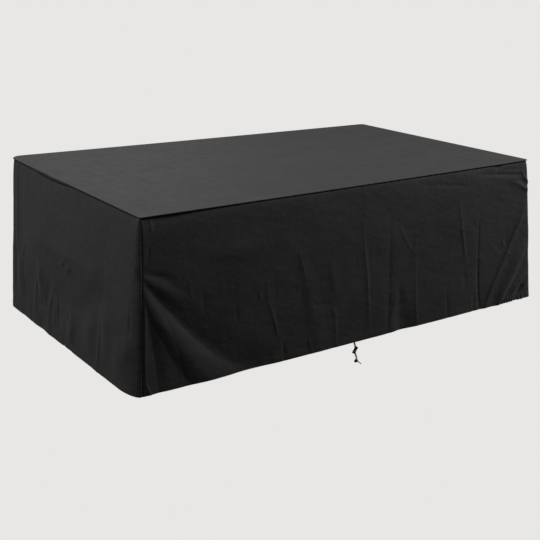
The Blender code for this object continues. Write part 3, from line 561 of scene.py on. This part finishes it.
def skirt_corner(name, fall):
    """Where the skirt's faces would meet, for each fall from 0 at the top edge to 1 at the hem."""
    corner = CORNERS[name]
    inset = TOP_LIP * (1.0 - fall)
    gap = np.full(fall.shape, SEAM_GAP)
    top = top_corner(name) - np.column_stack((corner.x_side * inset, corner.y_side * inset, gap))
    return top + (hem_corner(name) - top) * fall[:, None]


def bends(name, fall):
    """Lengths before and after a corner over which the cloth turns."""
    corner = CORNERS[name]
    growth = np.maximum(fall, 0.0) ** BEND_GROWTH
    before = corner.top_bend[0] + (corner.hem_bend[0] - corner.top_bend[0]) * growth
    after = corner.top_bend[1] + (corner.hem_bend[1] - corner.top_bend[1]) * growth
    return before[:, None], after[:, None]


def neighbours(name):
    order = list(CORNERS)
    place = order.index(name)
    return order[place - 1], order[(place + 1) % len(order)]


def outward_of(heading):
    flat = np.column_stack((heading[:, 1], -heading[:, 0], np.zeros(len(heading))))
    return unit(flat)


def bend_column(name, fall, turn):
    """Points and outward directions down a corner's bend, for a turn of 0 to 1."""
    before_name, after_name = neighbours(name)
    corner = skirt_corner(name, fall)
    arriving = unit(corner - skirt_corner(before_name, fall))
    leaving = unit(skirt_corner(after_name, fall) - corner)
    before, after = bends(name, fall)
    angle = 0.5 * math.pi * turn
    points = corner - before * (1.0 - math.sin(angle)) * arriving
    points = points + after * (1.0 - math.cos(angle)) * leaving
    heading = before * math.cos(angle) * arriving + after * math.sin(angle) * leaving
    return points, outward_of(heading)


def side_column(start_name, end_name, fall, share):
    """Points and outward directions down a straight side, at a share of the way between bends."""
    start, end = skirt_corner(start_name, fall), skirt_corner(end_name, fall)
    heading = unit(end - start)
    begins = start + heading * bends(start_name, fall)[1]
    ends = end - heading * bends(end_name, fall)[0]
    return begins + (ends - begins) * share, outward_of(heading)


# Folds on a panel ------------------------------------------------------------------------------


def profile_height(profile, reach):
    """Share of a fold's height at distances from its line, which are in half widths."""
    if profile == SOFT:
        return np.exp(-(reach**2))
    if profile == CREASE:
        return np.exp(-(reach**CREASE_POWER))
    flank = np.clip(1.0 - reach, 0.0, 1.0)
    if profile == RIDGE:
        return flank
    return flank - PLEAT_CREST * flank**4


def fold_relief(one, along, drop):
    """Height of one fold at the given places."""
    line = smooth_rows([tuple(row) for row in one.rows], FOLD_STEPS)
    margin = FOLD_MARGIN * line[:, 3:].max()
    near = (along > line[:, 0].min() - margin) & (along < line[:, 0].max() + margin)
    near &= (drop > line[:, 1].min() - margin) & (drop < line[:, 1].max() + margin)
    x, y = along[near], drop[near]
    distance = np.full(x.shape, np.inf)
    relief = np.zeros(x.shape)
    for start, end in zip(line, line[1:]):
        run = end[:2] - start[:2]
        share = ((x - start[0]) * run[0] + (y - start[1]) * run[1]) / run.dot(run)
        share = np.clip(share, 0.0, 1.0)
        off_x = x - start[0] - share * run[0]
        off_y = y - start[1] - share * run[1]
        away = np.hypot(off_x, off_y)
        on_right = run[0] * off_y - run[1] * off_x < 0.0
        row = start[:, None] + (end - start)[:, None] * share
        half_width = np.where(on_right, row[4], row[3])
        nearer = away < distance
        distance = np.where(nearer, away, distance)
        height = row[2] * profile_height(one.profile, away / half_width)
        relief = np.where(nearer, height, relief)
    total = np.zeros(along.shape)
    total[near] = relief
    return total


def rim_values(name, along):
    rows = np.array(RIMS[name])
    fine = smooth_rows(rows, RIM_STEPS)
    fine[:, 1:4] = np.maximum(fine[:, 1:4], RIM_LEAST)
    return [np.interp(along, fine[:, 0], fine[:, column]) for column in range(1, 5)]


def skirt_relief(name, along, drop):
    """How far the cloth stands out from the flat side."""
    relief = sum(fold_relief(one, along, drop) for one in FOLDS[name])
    offset = PANEL_OFFSET * list(PANELS).index(name)
    relief += unevenness(SKIRT_UNEVENNESS, along, drop, offset) * smoothstep(drop / UNEVEN_START)
    if name == "skirt_front":
        rise = smoothstep((drop - GATHER_TOP) / (DROP - GATHER_TOP))
        for gather in HEM_GATHERS:
            relief += gather.height * rise * np.exp(-(((along - gather.along) / gather.half_width) ** 2))
    lip, recess, tall, bulge = rim_values(name, along)
    below = drop - lip
    fade = np.exp(-np.maximum(below - tall, 0.0) / (DIP_FADE * tall))
    relief -= recess * smoothstep((below + SEAM_GAP) / tall) * fade
    relief += bulge * (1.0 - np.exp(-np.maximum(drop, 0.0) / BULGE_REACH))
    free = smoothstep((below - LIP_END) / LIP_CLEAR)
    relief = np.where(relief > 0.0, relief * free, relief) - LIP_TUCK * (1.0 - free)
    channel = smoothstep((drop - DROP + HEM_CHANNEL) / CHANNEL_RISE)
    return relief + HEM_SWELL * channel


# Sheets ----------------------------------------------------------------------------------------


def sheet_object(name, points, faces, cloth_places, material):
    """A smooth mesh with the cloth's own places, in metres, as its UV map."""
    mesh = bpy.data.meshes.new(name)
    mesh.vertices.add(len(points))
    mesh.vertices.foreach_set("co", points.astype(np.float32).ravel())
    mesh.loops.add(faces.size)
    mesh.loops.foreach_set("vertex_index", faces.astype(np.int32).ravel())
    mesh.polygons.add(len(faces))
    mesh.polygons.foreach_set("loop_start", np.arange(0, faces.size, faces.shape[1], dtype=np.int32))
    mesh.update(calc_edges=True)
    mesh.validate()
    grain = mesh.uv_layers.new(name="ClothGrain")
    grain.data.foreach_set("uv", cloth_places[faces.ravel()].astype(np.float32).ravel())
    mesh.shade_smooth()
    made = bpy.data.objects.new(name, mesh)
    bpy.context.scene.collection.objects.link(made)
    made.data.materials.append(material)
    return made


def grid_faces(rows, columns, flip=False):
    index = np.arange(rows * columns).reshape(rows, columns)
    corners = (index[:-1, :-1], index[1:, :-1], index[1:, 1:], index[:-1, 1:])
    faces = np.stack([corner.ravel() for corner in corners], axis=1)
    return faces[:, ::-1] if flip else faces


def finer_at_ends(count, share):
    """Even shares from 0 to 1, drawn together towards both ends."""
    even = np.linspace(0.0, 1.0, count + 1)
    return even - share * np.sin(2.0 * math.pi * even) / (2.0 * math.pi)


def skirt_rows(cell):
    """Drop and distance in behind the face, for each row from the top allowance to the channel."""
    down = list(TOP_DROPS)
    bottom = DROP - np.array(HEM_RISES)
    middle = np.linspace(down[-1], bottom[0], round((bottom[0] - down[-1]) / cell) + 1)[1:-1]
    inner = DROP - np.linspace(HEM_INNER, HEM_CHANNEL, HEM_INNER_ROWS)
    drops = [-past for inward, past in TOP_TURN]
    drops += [*down, *middle, *bottom, *(DROP + past for inward, past in HEM_TURN), *inner]
    inwards = [inward for inward, past in TOP_TURN]
    inwards += [0.0] * (len(down) + len(middle) + len(bottom))
    inwards += [inward for inward, past in HEM_TURN]
    inwards += [HEM_DEEP] * (len(inner) - len(HEM_JOIN)) + list(HEM_JOIN)
    return np.array(drops), np.array(inwards)


def panel_columns(panel, fall):
    """Points and outward directions of every column of a panel."""
    points, outwards = [], []
    for stretch in panel.stretches:
        shares = np.linspace(0.0, 1.0, stretch.cells + 1)
        if stretch.kind == "side":
            shares = finer_at_ends(stretch.cells, SIDE_CROWDING)
        for share in shares[1 if points else 0:]:
            if stretch.kind == "bend":
                column, outward = bend_column(stretch.corner, fall, share)
            else:
                column, outward = side_column(stretch.corner, stretch.end, fall, share)
            points.append(column)
            outwards.append(outward)
    return np.array(points).transpose(1, 0, 2), np.array(outwards).transpose(1, 0, 2)


def places_along(panel, points, fall):
    """Distances of every point from the corner that the panel counts from, and from its first seam."""
    steps = np.linalg.norm(np.diff(points, axis=1), axis=2)
    travelled = np.concatenate((np.zeros((len(points), 1)), np.cumsum(steps, axis=1)), axis=1)
    before, after = bends(panel.counts_from, fall)
    first = panel.stretches[0]
    if first.kind == "side" and first.corner == panel.counts_from:
        return travelled + after, travelled
    column = 0
    for stretch in panel.stretches:
        column += stretch.cells
        if stretch.kind == "side":
            break
    return before + travelled[:, column:column + 1] - travelled, travelled


def make_skirt(name, material):
    panel = PANELS[name]
    drops, inwards = skirt_rows(panel.cell)
    fall = drops / DROP
    points, outwards = panel_columns(panel, fall)
    along, travelled = places_along(panel, points, fall)
    from_seam = np.minimum(travelled, travelled[:, -1:] - travelled)
    drop = np.broadcast_to(drops[:, None], along.shape)
    relief = skirt_relief(name, along.ravel(), drop.ravel()).reshape(along.shape)
    relief = relief * smoothstep((from_seam + SEAM_HOLD) / FOLD_CALM)
    relief -= SEAM_DEPTH * np.exp(-((from_seam / SEAM_REACH) ** 2)) * smoothstep(drop / SEAM_START)
    heading = np.stack((-outwards[..., 1], outwards[..., 0], np.zeros(along.shape)), axis=-1)
    faces_at = points + outwards * relief[..., None]
    from_start = np.exp(-((travelled / SEAM_REACH) ** 2))
    from_end = np.exp(-(((travelled[:, -1:] - travelled) / SEAM_REACH) ** 2))
    faces_at += heading * (SEAM_APART * (from_start - from_end))[..., None]
    left = [
        faces_at[:, :1] - outwards[:, :1] * inward - heading[:, :1] * (past - SEAM_TURN[0][1])
        for inward, past in SEAM_TURN
    ]
    right = [
        faces_at[:, -1:] - outwards[:, -1:] * inward + heading[:, -1:] * (past - SEAM_TURN[0][1])
        for inward, past in SEAM_TURN[::-1]
    ]
    turned = len(SEAM_TURN)
    everywhere = np.concatenate((*left, faces_at, *right), axis=1)
    direction = np.concatenate(
        (*[outwards[:, :1]] * turned, outwards, *[outwards[:, -1:]] * turned), axis=1
    )
    everywhere = everywhere - direction * inwards[:, None, None]
    along = np.concatenate((*[along[:, :1]] * turned, along, *[along[:, -1:]] * turned), axis=1)
    drop = np.broadcast_to(drops[:, None] + inwards[:, None], along.shape)
    places = np.stack((along, drop), axis=-1).reshape(-1, 2)
    rows, columns = along.shape
    faces = grid_faces(rows, columns)
    return sheet_object(f"{name}_cloth", everywhere.reshape(-1, 3), faces, places, material)


def round_corners(points):
    """Draws the points near the top's corners in, so that the outline turns with the bends."""
    spot = {name: top_corner(name) for name in CORNERS}
    for name, corner in CORNERS.items():
        before_name, after_name = neighbours(name)
        before, after = corner.top_bend
        back = unit(spot[before_name] - spot[name])[:2] * before
        ahead = unit(spot[after_name] - spot[name])[:2] * after
        away = points[:, :2] - spot[name][:2]
        shares = np.linalg.solve(np.column_stack((back, ahead)), away.T)
        inside = shares.max(axis=0) < 1.0
        inward = 1.0 - np.clip(shares[:, inside], 0.0, 1.0)
        size = np.maximum(np.linalg.norm(inward, axis=0), 1e-9)
        drawn = 1.0 - inward * inward.max(axis=0) / size
        points[inside, :2] = spot[name][:2] + (np.column_stack((back, ahead)) @ drawn).T
    return points


def top_places(across, deep):
    """Points of the top's surface for shares of the way along X and along Y."""
    spot = {name: top_corner(name) for name in CORNERS}
    across, deep = across[:, None], deep[:, None]
    front = spot["near"] * (1.0 - across) + spot["right"] * across
    back = spot["left"] * (1.0 - across) + spot["far"] * across
    points = front * (1.0 - deep) + back * deep
    edge = np.minimum(np.minimum(across, 1.0 - across), np.minimum(deep, 1.0 - deep))[:, 0]
    calm = smoothstep(SWELL_RISE * edge)
    x, y = points[:, 0].copy(), points[:, 1].copy()
    for swell in TOP_SWELLS:
        away = np.hypot(x - swell.x, y - swell.y) / swell.reach
        points[:, 2] += swell.height * np.exp(-(away**2)) * calm
    for crease in TOP_FOLDS:
        points[:, 2] += fold_relief(crease, x, y)
    points[:, 2] += unevenness(TOP_UNEVENNESS, x, y, TOP_OFFSET) * smoothstep(UNEVEN_RISE * edge)
    hang = 4.0 * across[:, 0] * (1.0 - across[:, 0]) * (1.0 - smoothstep(SAG_FADE * edge))
    points[:, 2] -= TOP_SAG * hang
    points = round_corners(points)
    points[:, 2] += CLOTH
    return points


def lip_drops(outline, normals):
    """How far the turned edge hangs down at each point of the top's outline."""
    side = np.where(
        np.abs(normals[:, 0]) > np.abs(normals[:, 1]),
        np.where(normals[:, 0] > 0, 1, 3),
        np.where(normals[:, 1] > 0, 2, 0),
    )
    near = top_corner("near")
    distance = (
        outline[:, 0] - near[0],
        outline[:, 1] - top_corner("right")[1],
        outline[:, 0] - top_corner("left")[0],
        outline[:, 1] - near[1],
    )
    lips = np.zeros(len(outline))
    for number, name in enumerate(("skirt_front", "skirt_right", "skirt_back", "skirt_left")):
        chosen = side == number
        lips[chosen] = rim_values(name, distance[number][chosen])[0]
    return lips


def make_top(material):
    columns, rows = round(LENGTH / TOP_CELL), round(WIDTH / TOP_CELL)
    deep, across = np.meshgrid(
        finer_at_ends(rows, TOP_CROWDING), finer_at_ends(columns, TOP_CROWDING), indexing="ij"
    )
    points = top_places(across.ravel(), deep.ravel())
    faces = grid_faces(rows + 1, columns + 1, flip=True)
    index = np.arange((rows + 1) * (columns + 1)).reshape(rows + 1, columns + 1)
    outline = np.concatenate((index[0, :-1], index[:-1, -1], index[-1, :0:-1], index[:0:-1, 0]))
    ahead = points[np.roll(outline, -1)] - points[np.roll(outline, 1)]
    normals = outward_of(ahead)
    edge = points[outline]
    lips = lip_drops(edge, normals)
    rings = []
    for outwards, down, share in TOP_EDGE:
        fall = np.column_stack((np.zeros((len(edge), 2)), down + lips * share))
        rings.append(edge + normals * outwards - fall)
    ring_starts = [len(points) + number * len(edge) for number in range(len(rings))]
    loops = [outline] + [start + np.arange(len(edge)) for start in ring_starts]
    strips = []
    for inner, outer in zip(loops, loops[1:]):
        strips.append(np.stack((inner, outer, np.roll(outer, -1), np.roll(inner, -1)), axis=1))
    all_points = np.vstack((points, *rings))
    all_faces = np.vstack((faces, *strips))
    places = all_points[:, :2].copy()
    for number, start in enumerate(ring_starts):
        places[start:start + len(edge)] += normals[:, :2] * RING_STEP * number
    return sheet_object("top_panel_cloth", all_points, all_faces, places, material)


# Drawstring, cord lock and knot ----------------------------------------------------------------


def lock_axis():
    """Direction from the cord lock's barrel to its button."""
    return np.array((math.cos(LOCK_TILT), 0.0, math.sin(LOCK_TILT)))


def strand_points(side):
    """One strand's points, beside the middle line on the lock axis's side or the other."""
    middle = even_route(STRANDS_MIDDLE, STRAND_STEP)
    ahead = np.gradient(middle[:, :3], axis=0)
    heading = unit(ahead)
    axis = lock_axis()
    sideways = unit(axis - heading * (heading @ axis)[:, None])
    return np.array(LOCK_CENTRE) + middle[:, :3] + side * middle[:, 3:] * sideways


def cord_object(name, routes, radius, material, tips=()):
    """Round cords along the routes, whose radius may shrink at their last points."""
    curve = bpy.data.curves.new(name, "CURVE")
    curve.dimensions = "3D"
    curve.bevel_depth = radius
    curve.bevel_resolution = 4
    curve.use_fill_caps = True
    for route in routes:
        spline = curve.splines.new("POLY")
        spline.points.add(len(route) - 1)
        for place, point in zip(spline.points, route):
            place.co = (*point, 1.0)
        for place, share in zip(reversed(spline.points), tips):
            place.radius = share
    made = bpy.data.objects.new(name, curve)
    bpy.context.scene.collection.objects.link(made)
    made.data.materials.append(material)
    return made


def make_drawstring(cord_material, lock_material):
    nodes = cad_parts
    knot = make_knot(cord_material)
    for node in ("cord_lock_barrel", "cord_lock_button"):
        nodes[node].data.materials.clear()
        nodes[node].data.materials.append(lock_material)
    for name, side in STRANDS.items():
        route = strand_points(side)
        fine = even_route(route, CORD_STEP)
        strand = cord_object(f"{name}_cord", (fine,), STRAND / 2, cord_material)
        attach(strand, "root")
        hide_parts(name)


def make_knot(material):
    """One strand wraps round and runs on as the tail, and the other ends in a loop round the tail."""
    turns = np.linspace(0.0, math.tau * WRAPS_TURNS, WRAPS_POINTS)
    places = (
        (turns / turns[-1] - 0.5) * WRAPS_WIDTH, -WRAPS_RADIUS * np.sin(turns), WRAPS_RADIUS * np.cos(turns)
    )
    wraps = np.column_stack(places) + np.array(WRAPS_CENTRE)
    round_loop = np.linspace(0.0, LOOP_TURN, LOOP_POINTS)
    places = (LOOP_RADIUS * np.sin(round_loop), np.zeros_like(round_loop), LOOP_RADIUS * np.cos(round_loop))
    loop = np.column_stack(places) + np.array(LOOP_CENTRE)
    first = np.vstack((strand_points(-1)[-1:], wraps, TAIL_ROUTE[1:]))
    second = np.vstack((strand_points(1)[-1:], loop))
    knot = cord_object(
        "drawstring_knot_cord",
        (even_route(first, KNOT_STEP), even_route(second, KNOT_STEP)),
        STRAND / 2, material, tips=TAIL_TIPS,
    )
    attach(knot, "root")
    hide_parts("drawstring_knot")
    return knot


# Materials -------------------------------------------------------------------------------------


class Shader:
    """A Principled material with short calls for the nodes that feed it."""

    def __init__(self, name, colour, roughness, **sockets):
        self.material = bpy.data.materials.new(name)
        self.material.use_nodes = True
        self.tree = self.material.node_tree
        self.surface = self.tree.nodes["Principled BSDF"]
        self.surface.inputs["Base Color"].default_value = (*colour, 1.0)
        self.surface.inputs["Roughness"].default_value = roughness
        for socket, value in sockets.items():
            self.surface.inputs[socket.replace("_", " ")].default_value = value
        self.normal = None

    def node(self, kind, inputs, **values):
        """A node with its properties. An input is a number, a colour or another node's output."""
        made = self.tree.nodes.new(kind)
        for name, value in values.items():
            setattr(made, name, value)
        for name, value in inputs.items():
            if isinstance(value, bpy.types.NodeSocket):
                self.link(value, made.inputs[name])
            else:
                made.inputs[name].default_value = value
        return made

    def link(self, output, socket):
        self.tree.links.new(output, socket)

    def math(self, operation, *values):
        return self.node("ShaderNodeMath", dict(enumerate(values)), operation=operation).outputs[0]

    def noise(self, vector, scale, detail, roughness=0.5):
        inputs = {"Scale": scale, "Detail": detail, "Roughness": roughness, "Vector": vector}
        return self.node("ShaderNodeTexNoise", inputs).outputs["Fac"]

    def spread(self, value, low, high):
        """Carries a noise value, which is mostly 0.3 to 0.7, to low to high."""
        inputs = {"From Min": 0.3, "From Max": 0.7, "To Min": low, "To Max": high, "Value": value}
        return self.node("ShaderNodeMapRange", inputs).outputs["Result"]

    def shade(self, value, dark, light):
        """Mixes the surface's colour from dark to light by a value of 0 to 1."""
        inputs = {"A": (*dark, 1.0), "B": (*light, 1.0), "Factor": value}
        mixed = self.node("ShaderNodeMix", inputs, data_type="RGBA").outputs["Result"]
        self.link(mixed, self.surface.inputs["Base Color"])

    def bump(self, height, distance, strength=1.0):
        inputs = {"Distance": distance, "Strength": strength, "Height": height}
        if self.normal:
            inputs["Normal"] = self.normal
        self.normal = self.node("ShaderNodeBump", inputs).outputs["Normal"]
        self.link(self.normal, self.surface.inputs["Normal"])


CLOTH_DARK = (0.0270, 0.0268, 0.0262)
CLOTH_LIGHT = (0.0345, 0.0343, 0.0336)
WEAVE_PITCH = 0.0011  # between two threads of the cloth
BRAID_PITCH = 0.0016  # between two strands of the cord's braid


def cloth_material():
    """Coated polyester in a fine plain weave, with soft crumples and slightly uneven tone."""
    shader = Shader("black_polyester", CLOTH_DARK, 0.62, Specular_IOR_Level=0.30, Sheen_Weight=0.06,
                    Sheen_Roughness=0.55)
    place = shader.node("ShaderNodeTexCoord", {})
    mottle = shader.noise(place.outputs["Object"], 5.0, 4.0, 0.6)
    shader.shade(shader.spread(mottle, 0.0, 1.0), CLOTH_DARK, CLOTH_LIGHT)
    wear = shader.noise(place.outputs["Object"], 23.0, 3.0)
    shader.link(shader.spread(wear, 0.55, 0.70), shader.surface.inputs["Roughness"])
    crumples = shader.noise(place.outputs["Object"], 34.0, 5.0, 0.62)
    shader.bump(crumples, 0.0030, 0.55)
    grain = shader.node("ShaderNodeSeparateXYZ", {0: place.outputs["UV"]})
    turn = 2.0 * math.pi / WEAVE_PITCH
    warp = shader.math("SINE", shader.math("MULTIPLY", grain.outputs["X"], turn))
    weft = shader.math("SINE", shader.math("MULTIPLY", grain.outputs["Y"], turn))
    shader.bump(shader.math("MULTIPLY", warp, weft), 0.00006, 0.5)
    return shader.material


def cord_material():
    """Black braided cord, with two sets of slanting strands that cross."""
    shader = Shader("black_braid", (0.011, 0.011, 0.011), 0.72, Specular_IOR_Level=0.25)
    place = shader.node("ShaderNodeTexCoord", {})
    grain = shader.node("ShaderNodeSeparateXYZ", {0: place.outputs["Object"]})
    slant = shader.math("ADD", grain.outputs["X"], grain.outputs["Z"])
    counter = shader.math("SUBTRACT", grain.outputs["X"], grain.outputs["Z"])
    turn = 2.0 * math.pi / BRAID_PITCH
    one_way = shader.math("SINE", shader.math("MULTIPLY", slant, turn))
    other_way = shader.math("SINE", shader.math("MULTIPLY", counter, turn))
    shader.bump(shader.math("MULTIPLY", one_way, other_way), 0.00035, 0.9)
    fuzz = shader.noise(place.outputs["Object"], 900.0, 3.0)
    shader.shade(shader.spread(fuzz, 0.0, 1.0), (0.008, 0.008, 0.008), (0.018, 0.018, 0.018))
    return shader.material


def lock_material():
    """Black moulded plastic with a fine spark-eroded texture."""
    shader = Shader("black_plastic", (0.009, 0.009, 0.009), 0.42, Specular_IOR_Level=0.45)
    place = shader.node("ShaderNodeTexCoord", {})
    texture = shader.noise(place.outputs["Object"], 2600.0, 2.0)
    shader.bump(texture, 0.00010, 0.6)
    scuffs = shader.noise(place.outputs["Object"], 260.0, 4.0)
    shader.link(shader.spread(scuffs, 0.34, 0.52), shader.surface.inputs["Roughness"])
    shader.shade(shader.spread(scuffs, 0.0, 1.0), (0.007, 0.007, 0.007), (0.013, 0.013, 0.013))
    return shader.material


# Studio ----------------------------------------------------------------------------------------


def make_camera():
    ahead = Vector((
        math.cos(CAMERA_PITCH) * math.sin(CAMERA_YAW),
        math.cos(CAMERA_PITCH) * math.cos(CAMERA_YAW),
        -math.sin(CAMERA_PITCH),
    ))
    level = Vector((math.cos(CAMERA_YAW), -math.sin(CAMERA_YAW), 0.0))
    upright = level.cross(ahead)
    right = level * math.cos(CAMERA_ROLL) + upright * math.sin(CAMERA_ROLL)
    up = -level * math.sin(CAMERA_ROLL) + upright * math.cos(CAMERA_ROLL)
    lens = bpy.data.cameras.new("photo_camera")
    lens.lens = LENS
    lens.sensor_width = SENSOR
    lens.clip_end = CAMERA_REACH
    camera = bpy.data.objects.new("photo_camera", lens)
    bpy.context.scene.collection.objects.link(camera)
    turn = Matrix((right, up, -ahead)).transposed()
    camera.matrix_world = Matrix.Translation(CAMERA_PLACE) @ turn.to_4x4()
    bpy.context.scene.camera = camera


Softbox = namedtuple("Softbox", "name place target width height power")
SOFTBOXES = (
    Softbox("front_key", (4.8, -1.9, 3.0), (0.3, -0.4, -0.3), 1.2, 1.2, 210.0),
    Softbox("front_high", (0.5, -3.5, 4.0), (0.1, -0.3, -0.2), 1.6, 1.6, 52.0),
    Softbox("left", (-5.2, 0.1, 2.2), (-0.9, 0.0, -0.3), 1.8, 1.8, 30.0),
    Softbox("left_back", (-3.6, 2.2, 3.0), (-0.4, 0.2, -0.2), 1.8, 1.8, 40.0),
    Softbox("left_high", (-2.6, 0.5, 4.6), (-0.9, 0.0, -0.2), 1.2, 1.2, 142.0),
    Softbox("back", (1.5, 4.8, 2.6), (0.2, 0.4, -0.3), 2.2, 2.2, 15.0),
)


def make_softboxes():
    for box in SOFTBOXES:
        light = bpy.data.lights.new(box.name, "AREA")
        light.shape = "RECTANGLE"
        light.size = box.width
        light.size_y = box.height
        light.energy = box.power
        made = bpy.data.objects.new(box.name, light)
        bpy.context.scene.collection.objects.link(made)
        made.location = box.place
        towards = Vector(box.target) - Vector(box.place)
        made.rotation_euler = towards.to_track_quat("-Z", "Y").to_euler()
        made.visible_camera = False


def make_world():
    """The backdrop's colour to the camera, and a dim even fill to everything else."""
    world = bpy.data.worlds.new("studio")
    bpy.context.scene.world = world
    world.use_nodes = True
    tree = world.node_tree
    tree.nodes.clear()
    backdrop = tree.nodes.new("ShaderNodeBackground")
    backdrop.inputs["Color"].default_value = (*BACKDROP_COLOUR, 1.0)
    fill = tree.nodes.new("ShaderNodeBackground")
    fill.inputs["Color"].default_value = (*FILL_COLOUR, 1.0)
    rays = tree.nodes.new("ShaderNodeLightPath")
    either = tree.nodes.new("ShaderNodeMixShader")
    output = tree.nodes.new("ShaderNodeOutputWorld")
    tree.links.new(rays.outputs["Is Camera Ray"], either.inputs[0])
    tree.links.new(fill.outputs[0], either.inputs[1])
    tree.links.new(backdrop.outputs[0], either.inputs[2])
    tree.links.new(either.outputs[0], output.inputs["Surface"])


def make_floor():
    """A wide pale floor, which merges with the backdrop as in a product photograph."""
    bpy.ops.mesh.primitive_plane_add(size=FLOOR_SIZE, location=(0.0, 0.0, FLOOR_HEIGHT))
    floor = bpy.context.object
    floor.name = "studio_floor"
    material = bpy.data.materials.new("pale_floor")
    material.use_nodes = True
    tree = material.node_tree
    tree.nodes.clear()
    glow = tree.nodes.new("ShaderNodeEmission")
    glow.inputs["Color"].default_value = (*BACKDROP_COLOUR, 1.0)
    output = tree.nodes.new("ShaderNodeOutputMaterial")
    tree.links.new(glow.outputs[0], output.inputs["Surface"])
    floor.data.materials.append(material)
    floor.visible_diffuse = False
    floor.visible_glossy = False
    floor.visible_shadow = False


# Everything ------------------------------------------------------------------------------------


def main():
    make_camera()
    bpy.context.scene.view_settings.view_transform = "Standard"
    cloth = cloth_material()
    make_drawstring(cord_material(), lock_material())
    for name, panel in PANELS.items():
        skirt = make_skirt(name, cloth)
        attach(skirt, "root")
        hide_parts(name)
    top = make_top(cloth)
    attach(top, "root")
    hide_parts("top_panel")
    make_world()
    make_softboxes()
    make_floor()


main()
